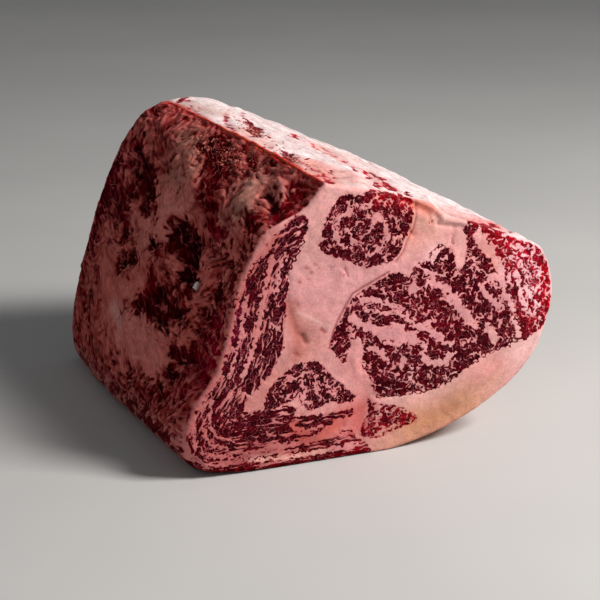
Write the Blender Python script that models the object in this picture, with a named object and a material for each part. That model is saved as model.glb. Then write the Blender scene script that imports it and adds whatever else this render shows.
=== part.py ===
"""Boneless rib-eye joint of beef: one solid block, knife-cut square across at both ends.

The joint lies on its belly side. X runs across the near cut face, Y runs along the loin
from the near cut face to the far one, Z is up. Its origin is on the surface it rests on,
under the middle of its box. All sizes are in metres.
"""
import math

import bmesh
import bpy
from mathutils import Vector

# Driving sizes of the joint.
JOINT_LENGTH = 0.190        # along the loin, between the two cut faces
FACE_WIDTH = 0.188          # across the near cut face, from belly corner to nose
FACE_HEIGHT = 0.131         # from the rest face to the chine ridge, at the near cut face
EDGE_ROUND = 0.0022         # radius of a knife-cut edge
BELLY_EDGE_INSET = 0.0065   # how far the cut face draws in from the belly corner
BELLY_EDGE_RUN = 0.0200     # over which length the belly corner rounds off
BELLY_CORNER_REACH = 0.014  # how far round the outline that softness reaches

# Fineness of the faceted solid.
POINTS_ROUND = 92           # points round one outline
STATIONS = 21               # outlines along the loin, between the rounded edges
EDGE_STEPS = 3              # facets across a rounded edge
CAP_RINGS = (0.90, 0.77, 0.63, 0.48, 0.33, 0.17)   # rings that fill a cut face

# The outline, seen from the near end, anticlockwise from the belly end of the rest face.
# Each row is: roundness, from 0 for a corner to 1 for a smooth run, and then the place at
# the near end, half way and at the far end, as percentages of the face's width and height.
OUTLINE = (
    (0.5, (10.2, 0.0), (7.1, 0.0), (6.6, 0.0)),             # rest face, belly end
    (1.0, (34.0, 0.0), (34.0, 0.0), (34.0, 0.0)),
    (0.6, (54.0, 0.0), (57.0, 0.0), (56.0, 0.0)),           # rest face, nose end
    (1.0, (66.0, 3.3), (67.0, 2.6), (66.0, 3.0)),           # fat cap
    (1.0, (74.5, 7.3), (74.7, 6.9), (74.1, 7.6)),
    (1.0, (84.5, 14.8), (84.5, 14.5), (83.7, 15.3)),
    (1.0, (92.8, 24.4), (93.0, 24.0), (91.7, 25.2)),
    (1.0, (97.6, 36.1), (97.8, 35.9), (96.5, 36.6)),
    (1.0, (100.0, 49.0), (100.0, 48.9), (99.1, 49.6)),      # nose
    (1.0, (99.2, 60.5), (99.7, 60.3), (99.1, 61.1)),
    (0.6, (96.2, 68.8), (97.0, 69.5), (97.0, 69.5)),        # upper corner of the nose
    (1.0, (89.7, 72.9), (89.8, 74.4), (90.1, 75.2)),        # back fat
    (1.0, (78.5, 79.7), (78.7, 81.7), (79.5, 82.2)),
    (0.6, (68.8, 84.6), (68.8, 87.8), (69.9, 88.5)),        # step, which runs out half way
    (0.6, (65.5, 88.8), (62.4, 91.2), (61.4, 94.3)),
    (1.0, (54.5, 94.3), (51.8, 96.9), (51.8, 100.0)),
    (1.0, (42.5, 98.4), (42.8, 101.1), (41.7, 105.0)),
    (0.2, (37.0, 100.0), (34.8, 103.1), (32.1, 104.4)),     # chine ridge
    (0.8, (31.8, 92.2), (28.4, 97.7), (25.7, 101.1)),       # chine side
    (0.9, (22.5, 85.5), (21.0, 87.2), (18.8, 89.3)),
    (1.0, (17.4, 74.8), (15.8, 75.0), (13.5, 74.0)),
    (1.0, (13.9, 64.0), (12.0, 63.4), (9.8, 60.3)),
    (1.0, (12.0, 51.5), (8.8, 50.4), (7.1, 47.3)),
    (1.0, (9.0, 38.5), (5.2, 36.6), (4.5, 34.4)),
    (1.0, (3.8, 27.5), (1.8, 24.4), (2.3, 22.9)),
    (0.9, (0.0, 16.5), (-0.3, 13.0), (0.7, 10.7)),          # belly corner
    (0.9, (1.8, 6.5), (0.7, 5.3), (1.5, 3.8)),
    (0.9, (5.2, 1.3), (3.7, 0.9), (3.9, 0.6)),
)
NEAR, HALF_WAY, FAR = 1, 2, 3                               # columns of that table

# Swells (positive) and hollows (negative) of the skin. Each row is: share of the height,
# share of the length, reach up and down, reach along the loin, and rise.
CHINE_SIDE_LUMPS = (
    (0.62, 0.14, 0.013, 0.016, -0.0030),    # pocket where a rib was drawn
    (0.47, 0.36, 0.018, 0.024, 0.0018),     # pad of fat left between two ribs
    (0.24, 0.30, 0.014, 0.030, -0.0020),    # trough of the lowest rib
    (0.28, 0.74, 0.022, 0.028, 0.0016),     # smooth pad of fat
    (0.74, 0.66, 0.014, 0.026, -0.0018),    # trough of the highest rib
    (0.88, 0.36, 0.010, 0.034, 0.0012),     # strip of chine meat
)
BACK_SIDE_LUMPS = (
    (0.93, 0.50, 0.012, 0.040, -0.0010),    # long dip in the back fat
    (0.35, 0.60, 0.022, 0.045, 0.0008),     # fat cap, fuller past the middle
)
QUIET_ENDS = 0.10           # share of the length over which the lumps run out at each end

# Muscles that swell out of a cut face, and seams that sink into it. Each row is: share of
# the width, share of the height, reach across, reach up, rise out of the face.
FACE_SWELLS = (
    (0.74, 0.53, 0.036, 0.022, 0.0012),     # eye of the rib
    (0.52, 0.82, 0.014, 0.014, 0.0008),     # cap muscle
    (0.22, 0.45, 0.010, 0.030, 0.0006),     # side strap
    (0.40, 0.32, 0.014, 0.012, 0.0006),     # rib muscle
    (0.42, 0.60, 0.012, 0.024, -0.0010),    # seam fat
    (0.62, 0.15, 0.030, 0.010, -0.0006),    # under the fat cap
)

NODE_NAME = "rib_eye_joint"
MEAT_COLOUR = (0.30, 0.065, 0.070, 1.0)
MEAT_ROUGHNESS = 0.42


def clear_scene():
    """Remove every object, so that the file holds only the joint."""
    for item in list(bpy.data.objects):
        bpy.data.objects.remove(item, do_unlink=True)


def hermite(start, end, start_tangent, end_tangent, share):
    """Return the point at a share of the way along one smooth span."""
    s2 = share * share
    s3 = s2 * share
    return (start * (2 * s3 - 3 * s2 + 1) + start_tangent * (s3 - 2 * s2 + share)
            + end * (3 * s2 - 2 * s3) + end_tangent * (s3 - s2))


def knot_places(column):
    """Return the outline's knots at one of the three sections of the table."""
    return [Vector((row[column][0] / 100 * FACE_WIDTH, row[column][1] / 100 * FACE_HEIGHT))
            for row in OUTLINE]


def knot_tangents(knots):
    """Return each knot's tangents, for the span that ends at it and the one that starts."""
    tangents = []
    for i, row in enumerate(OUTLINE):
        before = knots[i] - knots[i - 1]
        after = knots[(i + 1) % len(knots)] - knots[i]
        heading = (before.normalized() + after.normalized()).normalized() * row[0]
        tangents.append((heading * before.length, heading * after.length))
    return tangents


def span_parts():
    """Return how many points each span of the outline gets, by its length at the near end."""
    knots = knot_places(NEAR)
    lengths = [(knots[(i + 1) % len(knots)] - knot).length for i, knot in enumerate(knots)]
    step = sum(lengths) / POINTS_ROUND
    return [max(1, round(length / step)) for length in lengths]


def section(column):
    """Return the points of the outline at one of the three sections."""
    knots = knot_places(column)
    tangents = knot_tangents(knots)
    points = []
    for i, parts in enumerate(span_parts()):
        following = (i + 1) % len(knots)
        points += [hermite(knots[i], knots[following], tangents[i][1], tangents[following][0],
                           k / parts) for k in range(parts)]
    return points


def outline_at(sections, share):
    """Return the outline at a share of the length, on parabolas through the sections."""
    near = 2 * (share - 0.5) * (share - 1)
    middle = 4 * share * (1 - share)
    far = 2 * share * (share - 0.5)
    return [a * near + b * middle + c * far for a, b, c in zip(*sections)]


def outward_normals(points):
    """Return the unit normals of a closed outline that runs anticlockwise."""
    normals = []
    for i, _ in enumerate(points):
        run = points[(i + 1) % len(points)] - points[i - 1]
        normals.append(Vector((run.y, -run.x)).normalized())
    return normals


def bell(distance, reach):
    """Return a soft bump of height 1 at distance 0, falling away over the reach."""
    return math.exp(-0.5 * (distance / reach) ** 2)


def lump_rise(point, normal, share):
    """Return how far the skin stands out at an outline point and a share of the length."""
    if point.y <= 0.02 * FACE_HEIGHT:
        return 0.0
    chine_side = normal.x < 0 and point.x < 0.5 * FACE_WIDTH
    rise = 0.0
    for up, along, reach_up, reach_along, height in (
            CHINE_SIDE_LUMPS if chine_side else BACK_SIDE_LUMPS):
        rise += (height * bell(point.y - up * FACE_HEIGHT, reach_up)
                 * bell((share - along) * JOINT_LENGTH, reach_along))
    return rise * min(1.0, min(share, 1.0 - share) / QUIET_ENDS)


def skin_section(sections, share):
    """Return the points and normals of the skin at a share of the length."""
    points = outline_at(sections, share)
    normals = outward_normals(points)
    skin = [point + normal * lump_rise(point, normal, share)
            for point, normal in zip(points, normals)]
    return [Vector((point.x, max(point.y, 0.0))) for point in skin], normals


def edge_size(point):
    """Return how far the cut edge is drawn in at an outline point, and its run along Y."""
    corner = Vector((0.02 * FACE_WIDTH, 0.04 * FACE_HEIGHT))
    softness = bell((point - corner).length, BELLY_CORNER_REACH)
    inset = EDGE_ROUND + (BELLY_EDGE_INSET - EDGE_ROUND) * softness
    run = EDGE_ROUND + (BELLY_EDGE_RUN - EDGE_ROUND) * softness
    return inset, run


def face_rise(x, z):
    """Return how far a cut face swells out at a place on it."""
    return sum(height * bell(x - across * FACE_WIDTH, reach_across)
               * bell(z - up * FACE_HEIGHT, reach_up)
               for across, up, reach_across, reach_up, height in FACE_SWELLS)


def end_rings(sections, share, outward):
    """Return the rings of one end, from its rounded edge to the rings that fill the face.

    share is 0 at the near end and 1 at the far end, and outward is the sign of Y there.
    """
    face_y = outward * JOINT_LENGTH / 2
    skin, normals = skin_section(sections, share)
    rings = []
    for step in range(1, EDGE_STEPS + 1):
        turn = 0.5 * math.pi * step / EDGE_STEPS
        ring = []
        for point, normal in zip(skin, normals):
            inset, run = edge_size(point)
            place = point - normal * inset * (1 - math.cos(turn))
            ring.append(Vector((place.x, face_y - outward * run * (1 - math.sin(turn)),
                                max(place.y, 0.0))))
        rings.append(ring)
    rim = rings[-1]
    middle = sum(rim, Vector((0.0, 0.0, 0.0))) / len(rim)
    for scale in CAP_RINGS:
        ring = []
        for corner in rim:
            place = middle + (corner - middle) * scale
            place.y = face_y + outward * face_rise(place.x, place.z)
            ring.append(place)
        rings.append(ring)
    middle.y = face_y + outward * face_rise(middle.x, middle.z)
    return rings, middle


def skin_rings(sections):
    """Return the outlines along the loin, from the near edge's run to the far one's."""
    rings = []
    for i in range(STATIONS):
        share = i / (STATIONS - 1)
        skin, _ = skin_section(sections, share)
        rings.append([Vector((point.x, (JOINT_LENGTH - 2 * edge_size(point)[1]) * (share - 0.5),
                              point.y)) for point in skin])
    return rings


def joint_mesh():
    """Return the closed mesh of the joint, with its origin under the middle of its box."""
    sections = [section(column) for column in (NEAR, HALF_WAY, FAR)]
    near_rings, near_middle = end_rings(sections, 0.0, -1)
    far_rings, far_middle = end_rings(sections, 1.0, 1)
    rings = near_rings[::-1] + skin_rings(sections) + far_rings

    places = [place for ring in rings for place in ring] + [near_middle, far_middle]
    across = [place.x for place in places]
    along = [place.y for place in places]
    centre = Vector(((min(across) + max(across)) / 2, (min(along) + max(along)) / 2, 0.0))

    shape = bmesh.new()
    grid = [[shape.verts.new(place - centre) for place in ring] for ring in rings]
    near_tip = shape.verts.new(near_middle - centre)
    far_tip = shape.verts.new(far_middle - centre)
    count = len(grid[0])
    for ring, following in zip(grid, grid[1:]):
        for i in range(count):
            j = (i + 1) % count
            shape.faces.new((ring[i], ring[j], following[j], following[i]))
    for i in range(count):
        j = (i + 1) % count
        shape.faces.new((grid[0][j], grid[0][i], near_tip))
        shape.faces.new((grid[-1][i], grid[-1][j], far_tip))
    bmesh.ops.recalc_face_normals(shape, faces=shape.faces)
    bmesh.ops.triangulate(shape, faces=shape.faces)
    mesh = bpy.data.meshes.new(NODE_NAME)
    shape.to_mesh(mesh)
    shape.free()
    return mesh


def meat_material():
    """Return the material of raw, marbled beef."""
    material = bpy.data.materials.new("raw_beef")
    material.use_nodes = True
    shader = material.node_tree.nodes["Principled BSDF"]
    shader.inputs["Base Color"].default_value = MEAT_COLOUR
    shader.inputs["Roughness"].default_value = MEAT_ROUGHNESS
    shader.inputs["Metallic"].default_value = 0.0
    return material


def main():
    """Model the joint as one solid."""
    clear_scene()
    mesh = joint_mesh()
    mesh.materials.append(meat_material())
    mesh.shade_smooth()
    mesh.set_sharp_from_angle(angle=math.radians(50))
    joint = bpy.data.objects.new(NODE_NAME, mesh)
    bpy.context.scene.collection.objects.link(joint)


main()
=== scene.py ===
"""Looks of a boneless rib-eye joint of beef, cut square across at both ends.

The skin of the joint is made anew, fine enough to carry its marbling. It follows the same
outline table as the solid, so that every piece lies in the solid's place. Each part of the
skin has a chart, a flat map in millimetres on which muscle and fat are laid out in named
shapes. The charts give the skin its relief and its tones, and the finish adds the grain.
"""

import logging
import math
from dataclasses import dataclass, field, replace
from enum import Enum
from typing import ClassVar

import bmesh
import bpy
import numpy as np
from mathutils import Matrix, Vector
from mathutils.geometry import delaunay_2d_cdt


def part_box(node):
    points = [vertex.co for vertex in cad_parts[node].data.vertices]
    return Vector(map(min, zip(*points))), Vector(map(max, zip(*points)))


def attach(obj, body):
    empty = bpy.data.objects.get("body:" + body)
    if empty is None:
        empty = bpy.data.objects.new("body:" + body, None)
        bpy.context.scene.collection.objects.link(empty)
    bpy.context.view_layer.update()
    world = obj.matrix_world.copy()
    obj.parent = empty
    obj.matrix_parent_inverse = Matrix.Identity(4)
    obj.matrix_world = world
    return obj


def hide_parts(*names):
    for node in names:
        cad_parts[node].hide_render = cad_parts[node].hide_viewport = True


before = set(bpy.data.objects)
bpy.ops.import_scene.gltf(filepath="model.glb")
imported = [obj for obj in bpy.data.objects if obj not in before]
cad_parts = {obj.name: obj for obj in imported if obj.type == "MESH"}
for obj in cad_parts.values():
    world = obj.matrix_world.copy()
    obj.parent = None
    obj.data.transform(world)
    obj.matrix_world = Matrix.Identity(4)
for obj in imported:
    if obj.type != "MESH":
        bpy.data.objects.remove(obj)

log = logging.getLogger("rib_eye_joint")

MM = 0.001
NODE_NAME = "rib_eye_joint"
BODY_NAME = "root"

Array = np.ndarray
Place = tuple[float, float]
Colour = tuple[float, float, float]
Paint = tuple[float, float, float, float]       # a colour and its cover
Socket = bpy.types.NodeSocket
Feed = Socket | float | int | tuple             # what goes into a node's input


def tone(red: float, green: float, blue: float) -> Colour:
    """Turn a screen colour, in steps of 0 to 255, into the linear one that Blender takes."""
    return tuple((c / 255 / 12.92) if c <= 10 else ((c / 255 + 0.055) / 1.055) ** 2.4
                 for c in (red, green, blue))


def bell(distance: Array, reach: float) -> Array:
    """Return a soft bump, 1 at distance 0, that falls away over the reach."""
    return np.exp(-0.5 * (distance / reach) ** 2)


def ease(value: Array, low: float, high: float) -> Array:
    """Return 0 below low and 1 above high, and a smooth step between them."""
    share = np.clip((value - low) / (high - low), 0.0, 1.0)
    return share * share * (3.0 - 2.0 * share)


class Side(Enum):
    """A part of the skin. Its value is the name of the piece."""

    NEAR_CUT = "near_cut_face"
    FAR_CUT = "far_cut_face"
    CHINE = "chine_side"
    BACK = "back_fat"
    CAP = "fat_cap"
    REST = "rest_side"

    @property
    def index(self) -> int:
        """Return the side's number among the sides."""
        return list(Side).index(self)


class Flow(Enum):
    """How the fibres of a muscle lie on a chart."""

    ROUND = "in rings round a point"
    FAN = "out from a point"
    RIM = "in layers along the cut rim"
    SLANT = "straight, at an angle"


# ----------------------------------------------------------------------------------------
# The form of the joint, as its solid has it.

# The outline, seen from the near end, anticlockwise from the belly end of the rest face.
# Each row is: roundness, from 0 for a corner to 1 for a smooth run, and then the place at
# the near end, half way and at the far end, as percentages of the face's width and height.
OUTLINE = (
    (0.5, (10.2, 0.0), (7.1, 0.0), (6.6, 0.0)),             # rest face, belly end
    (1.0, (34.0, 0.0), (34.0, 0.0), (34.0, 0.0)),
    (0.6, (54.0, 0.0), (57.0, 0.0), (56.0, 0.0)),           # rest face, nose end
    (1.0, (66.0, 3.3), (67.0, 2.6), (66.0, 3.0)),           # fat cap
    (1.0, (74.5, 7.3), (74.7, 6.9), (74.1, 7.6)),
    (1.0, (84.5, 14.8), (84.5, 14.5), (83.7, 15.3)),
    (1.0, (92.8, 24.4), (93.0, 24.0), (91.7, 25.2)),
    (1.0, (97.6, 36.1), (97.8, 35.9), (96.5, 36.6)),
    (1.0, (100.0, 49.0), (100.0, 48.9), (99.1, 49.6)),      # nose
    (1.0, (99.2, 60.5), (99.7, 60.3), (99.1, 61.1)),
    (0.6, (96.2, 68.8), (97.0, 69.5), (97.0, 69.5)),        # upper corner of the nose
    (1.0, (89.7, 72.9), (89.8, 74.4), (90.1, 75.2)),        # back fat
    (1.0, (78.5, 79.7), (78.7, 81.7), (79.5, 82.2)),
    (0.6, (68.8, 84.6), (68.8, 87.8), (69.9, 88.5)),        # step, which runs out half way
    (0.6, (65.5, 88.8), (62.4, 91.2), (61.4, 94.3)),
    (1.0, (54.5, 94.3), (51.8, 96.9), (51.8, 100.0)),
    (1.0, (42.5, 98.4), (42.8, 101.1), (41.7, 105.0)),
    (0.2, (37.0, 100.0), (34.8, 103.1), (32.1, 104.4)),     # chine ridge
    (0.8, (31.8, 92.2), (28.4, 97.7), (25.7, 101.1)),       # chine side
    (0.9, (22.5, 85.5), (21.0, 87.2), (18.8, 89.3)),
    (1.0, (17.4, 74.8), (15.8, 75.0), (13.5, 74.0)),
    (1.0, (13.9, 64.0), (12.0, 63.4), (9.8, 60.3)),
    (1.0, (12.0, 51.5), (8.8, 50.4), (7.1, 47.3)),
    (1.0, (9.0, 38.5), (5.2, 36.6), (4.5, 34.4)),
    (1.0, (3.8, 27.5), (1.8, 24.4), (2.3, 22.9)),
    (0.9, (0.0, 16.5), (-0.3, 13.0), (0.7, 10.7)),          # belly corner
    (0.9, (1.8, 6.5), (0.7, 5.3), (1.5, 3.8)),
    (0.9, (5.2, 1.3), (3.7, 0.9), (3.9, 0.6)),
)
NOSE_REST, NOSE_CORNER, RIDGE, BELLY_CORNER = 2, 10, 17, 25  # rows where the sides meet

# Swells (positive) and hollows (negative) of the skin. Each row is: share of the height,
# share of the length, reach up and down, reach along the loin, and rise, in metres.
CHINE_SIDE_LUMPS = (
    (0.62, 0.14, 0.013, 0.016, -0.0030),    # pocket where a rib was drawn
    (0.47, 0.36, 0.018, 0.024, 0.0018),     # pad of fat left between two ribs
    (0.24, 0.30, 0.014, 0.030, -0.0020),    # trough of the lowest rib
    (0.28, 0.74, 0.022, 0.028, 0.0016),     # smooth pad of fat
    (0.74, 0.66, 0.014, 0.026, -0.0018),    # trough of the highest rib
    (0.88, 0.36, 0.010, 0.034, 0.0012),     # strip of chine meat
)
BACK_SIDE_LUMPS = (
    (0.93, 0.50, 0.012, 0.040, -0.0010),    # long dip in the back fat
    (0.35, 0.60, 0.022, 0.045, 0.0008),     # fat cap, fuller past the middle
)

# Muscles that swell out of a cut face, and seams that sink into it. Each row is: share of
# the width, share of the height, reach across, reach up, rise out of the face, in metres.
FACE_SWELLS = (
    (0.74, 0.53, 0.036, 0.022, 0.0012),     # eye of the rib
    (0.52, 0.82, 0.014, 0.014, 0.0008),     # cap muscle
    (0.22, 0.45, 0.010, 0.030, 0.0006),     # side strap
    (0.40, 0.32, 0.014, 0.012, 0.0006),     # rib muscle
    (0.42, 0.60, 0.012, 0.024, -0.0010),    # seam fat
    (0.62, 0.15, 0.030, 0.010, -0.0006),    # under the fat cap
)


@dataclass
class LoinForm:
    """The form of the joint, in metres, before it is moved to the solid's place."""

    length: float = 0.190           # along the loin, between the two cut faces
    width: float = 0.188            # across the near cut face, belly corner to nose
    height: float = 0.131           # rest face to chine ridge, at the near cut face
    edge_round: float = 0.0022      # radius of a knife-cut edge
    belly_inset: float = 0.0065     # how far the cut face draws in from the belly corner
    belly_run: float = 0.0200       # over which length the belly corner rounds off
    belly_reach: float = 0.014      # how far round the outline that softness reaches
    quiet_ends: float = 0.10        # share of the length where the lumps run out
    edge_sight: float = 0.0050      # how far round the outline a rounded edge evens out
    knots: list[Array] = field(default_factory=list)
    tangents: list[tuple[Array, Array]] = field(default_factory=list)

    def __post_init__(self) -> None:
        """Work out the knots and tangents of the three sections."""
        roundness = np.array([row[0] for row in OUTLINE])[:, None]
        for column in (1, 2, 3):
            knot = np.array([row[column] for row in OUTLINE]) / 100 * (self.width, self.height)
            before = knot - np.roll(knot, 1, axis=0)
            after = np.roll(knot, -1, axis=0) - knot
            before_length = np.linalg.norm(before, axis=1, keepdims=True)
            after_length = np.linalg.norm(after, axis=1, keepdims=True)
            heading = before / before_length + after / after_length
            heading *= roundness / np.linalg.norm(heading, axis=1, keepdims=True)
            self.knots.append(knot)
            self.tangents.append((heading * before_length, heading * after_length))

    def section(self, column: int, turn: Array) -> Array:
        """Return points of one section.

        Args:
            column: 0 for the near end, 1 for half way, 2 for the far end.
            turn: places round the outline, in rows of its table.

        Returns:
            The points across and up, in metres.
        """
        count = len(OUTLINE)
        start = np.floor(turn).astype(int) % count
        end = (start + 1) % count
        share = (turn - np.floor(turn))[..., None]
        square, cube = share ** 2, share ** 3
        knot, (arrive, leave) = self.knots[column], self.tangents[column]
        return (knot[start] * (2 * cube - 3 * square + 1)
                + leave[start] * (cube - 2 * square + share)
                + knot[end] * (3 * square - 2 * cube) + arrive[end] * (cube - square))

    def outline(self, turn: Array, share: Array) -> Array:
        """Return the outline of the joint, on parabolas through its sections.

        Args:
            turn: places round the outline, in rows of its table.
            share: shares of the length, from 0 at the near end.

        Returns:
            The points across and up, in metres.
        """
        near = (2 * (share - 0.5) * (share - 1))[..., None]
        middle = (4 * share * (1 - share))[..., None]
        far = (2 * share * (share - 0.5))[..., None]
        return (self.section(0, turn) * near + self.section(1, turn) * middle
                + self.section(2, turn) * far)

    def outward(self, turn: Array, share: Array) -> Array:
        """Return which way the skin faces.

        Args:
            turn, share: places, as for the outline.

        Returns:
            The unit normals of the outline, across and up.
        """
        run = self.outline(turn + 0.15, share) - self.outline(turn - 0.15, share)
        normal = np.stack([run[..., 1], -run[..., 0]], axis=-1)
        return normal / np.maximum(np.linalg.norm(normal, axis=-1, keepdims=True), 1e-9)

    def lumps(self, point: Array, normal: Array, share: Array) -> Array:
        """Return how far the skin stands out.

        Args:
            point: points of the outline, across and up.
            normal: the outline's normals there.
            share: their shares of the length.

        Returns:
            The rise at each point, in metres.
        """
        chine = (normal[..., 0] < 0) & (point[..., 0] < 0.5 * self.width)
        rises = []
        for lumps in (CHINE_SIDE_LUMPS, BACK_SIDE_LUMPS):
            rises.append(sum(rise * bell(point[..., 1] - up * self.height, reach_up)
                             * bell((share - along) * self.length, reach_along)
                             for up, along, reach_up, reach_along, rise in lumps))
        rise = np.where(chine, rises[0], rises[1])
        rise = np.where(point[..., 1] <= 0.02 * self.height, 0.0, rise)
        return rise * np.minimum(1.0, np.minimum(share, 1.0 - share) / self.quiet_ends)

    def softness(self, point: Array) -> Array:
        """Return how much of the belly corner's soft edge an outline point has."""
        corner = np.array((0.02 * self.width, 0.04 * self.height))
        return bell(np.linalg.norm(point - corner, axis=-1), self.belly_reach)

    def skin(self, turn: Array, share: Array) -> tuple[Array, Array]:
        """Return the skin between the two rounded edges.

        Args:
            turn: places round the outline, in rows of its table.
            share: shares of the length, from 0 at the near end to 1 at the far end.

        Returns:
            The points in three dimensions, and the outline's normals across and up.
        """
        turn, share = np.broadcast_arrays(turn, share)
        point, normal = self.outline(turn, share), self.outward(turn, share)
        flat = point + normal * self.lumps(point, normal, share)[..., None]
        flat[..., 1] = np.maximum(flat[..., 1], 0.0)
        run = self.edge_round + (self.belly_run - self.edge_round) * self.softness(flat)
        along = (self.length - 2 * run) * (share - 0.5)
        return np.stack([flat[..., 0], along, flat[..., 1]], axis=-1), normal

    def edge(self, turn: Array, end: int, bend: float) -> Array:
        """Return one ring of a rounded edge.

        Args:
            turn: places round the outline, in rows of its table.
            end: -1 for the near end, 1 for the far end.
            bend: how far round the edge, from 0 on the skin to 1 on the cut face.

        Returns:
            The points of the ring.
        """
        skin, _ = self.skin(turn, np.full_like(turn, (1 + end) / 2))
        flat = skin[..., [0, 2]]
        steps = np.linalg.norm(np.roll(flat, -1, axis=0) - flat, axis=1)
        place, period = np.concatenate(([0.0], np.cumsum(steps)[:-1])), steps.sum()
        run = np.stack([np.interp(place + self.edge_sight, place, flat[:, axis], period=period)
                        - np.interp(place - self.edge_sight, place, flat[:, axis], period=period)
                        for axis in (0, 1)], axis=-1)
        normal = np.stack([run[:, 1], -run[:, 0]], axis=-1)
        normal /= np.linalg.norm(normal, axis=1, keepdims=True)
        soft = self.softness(flat)
        inset = self.edge_round + (self.belly_inset - self.edge_round) * soft
        run = self.edge_round + (self.belly_run - self.edge_round) * soft
        angle = 0.5 * math.pi * bend
        place = flat - normal * (inset * (1 - math.cos(angle)))[..., None]
        along = end * (self.length / 2 - run * (1 - math.sin(angle)))
        return np.stack([place[..., 0], along, np.maximum(place[..., 1], 0.0)], axis=-1)

    def face_rise(self, across: Array, up: Array) -> Array:
        """Return how far a cut face swells out.

        Args:
            across, up: the places on it, in metres.

        Returns:
            The rise there, in metres.
        """
        return sum(rise * bell(across - x * self.width, reach_across)
                   * bell(up - z * self.height, reach_up)
                   for x, z, reach_across, reach_up, rise in FACE_SWELLS)


# ----------------------------------------------------------------------------------------
# Grain: the flecks of muscle and fat, as a texture that repeats.


def between(values: Array, columns: tuple[Array, Array], rows: tuple[Array, Array],
            right_share: Array, high_share: Array) -> Array:
    """Return values at places between four samples.

    Args:
        values: all the samples.
        columns: the columns to the left and right of each place.
        rows: the rows below and above it.
        right_share, high_share: how near it is to the right column and to the upper row.

    Returns:
        The values.
    """
    (left, right), (low, high) = columns, rows
    lower = values[low, left] * (1 - right_share) + values[low, right] * right_share
    upper = values[high, left] * (1 - right_share) + values[high, right] * right_share
    return lower * (1 - high_share) + upper * high_share


@dataclass(frozen=True)
class GrainBand:
    """One size of fleck in a grain."""

    size: float                 # from one fleck to the next across the grain, in mm
    stretch: float              # how many times longer than wide a fleck is
    weight: float


@dataclass
class Grain:
    """A repeating texture of flecks, worked out from their sizes."""

    bands: tuple[GrainBand, ...]
    seed: int
    width: float = 128.0        # size of the square that repeats, in mm
    count: int = 512            # samples along one side of it
    spread: float = 0.32        # how much the fleck sizes of a band differ
    values: Array = field(init=False)

    def __post_init__(self) -> None:
        """Filter seeded noise to the bands."""
        rng = np.random.default_rng(self.seed)
        rate = np.fft.fftfreq(self.count, self.width / self.count)
        across, along = np.meshgrid(rate, rate, indexing="ij")
        total = np.zeros((self.count, self.count))
        for band in self.bands:
            noise = np.fft.fft2(rng.standard_normal((self.count, self.count)))
            pace = np.hypot(along * band.stretch, across) * band.size
            noise *= np.exp(-0.5 * (np.log(np.maximum(pace, 1e-6)) / self.spread) ** 2)
            flecks = np.fft.ifft2(noise).real
            total += flecks / flecks.std() * band.weight
        self.values = total / total.std()

    def at(self, along: Array, across: Array) -> Array:
        """Return the grain at some places.

        Args:
            along, across: the places along and across the fibres, in mm.

        Returns:
            The grain's values.
        """
        step = self.width / self.count
        column, row = along / step, across / step
        left, low = np.floor(column).astype(int), np.floor(row).astype(int)
        right_share, high_share = column - left, row - low
        left, right = left % self.count, (left + 1) % self.count
        low, high = low % self.count, (low + 1) % self.count
        return between(self.values, (left, right), (low, high), right_share, high_share)

    def turned(self, x: Array, y: Array, heading: Array, ways: int = 10) -> Array:
        """Return the grain with its fibres turned to a heading that differs over the chart.

        Args:
            x, y: the places, in mm.
            heading: the run of the fibres at each place, in radians.
            ways: how many straight grains are blended.

        Returns:
            The grain's values.
        """
        total, power = np.zeros(np.shape(x)), np.full(np.shape(x), 1e-6)
        for way in range(ways):
            angle = math.pi * way / ways
            apart = np.abs((heading - angle + math.pi / 2) % math.pi - math.pi / 2)
            share = np.maximum(0.0, 1.0 - apart * ways / math.pi)
            along = x * math.cos(angle) + y * math.sin(angle) + 37.0 * way
            across = y * math.cos(angle) - x * math.sin(angle) + 53.0 * way
            total += share * self.at(along, across)
            power += share ** 2
        return total / np.sqrt(power)


def stroke_distance(x: Array, y: Array, places: tuple[Place, ...]) -> tuple[Array, Array]:
    """Measure places against a line through points.

    Args:
        x, y: the places.
        places: the points of the line; one point alone is a spot.

    Returns:
        The distance to the line, and how far along the line the nearest point is.
    """
    best = np.full(np.shape(x), np.inf)
    along = np.zeros(np.shape(x))
    run = 0.0
    pairs = list(zip(places, places[1:])) or [(places[0], places[0])]
    for (ax, ay), (bx, by) in pairs:
        dx, dy = bx - ax, by - ay
        length = math.hypot(dx, dy)
        share = np.clip(((x - ax) * dx + (y - ay) * dy) / max(length ** 2, 1e-12), 0.0, 1.0)
        square = (x - ax - share * dx) ** 2 + (y - ay - share * dy) ** 2
        nearer = square < best
        best = np.where(nearer, square, best)
        along = np.where(nearer, run + share * length, along)
        run += length
    return np.sqrt(best), along


def inside_distance(x: Array, y: Array, places: tuple[Place, ...]) -> Array:
    """Measure places against a closed outline.

    Args:
        x, y: the places.
        places: the corners of the outline.

    Returns:
        The distance to the outline, positive inside it.
    """
    closed = tuple(places) + (places[0],)
    distance, _ = stroke_distance(x, y, closed)
    inside = np.zeros(np.shape(x), bool)
    for (ax, ay), (bx, by) in zip(closed, closed[1:]):
        if ay == by:
            continue
        crosses = (ay > y) != (by > y)
        inside ^= crosses & (x < (bx - ax) * (y - ay) / (by - ay) + ax)
    return np.where(inside, distance, -distance)


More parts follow.
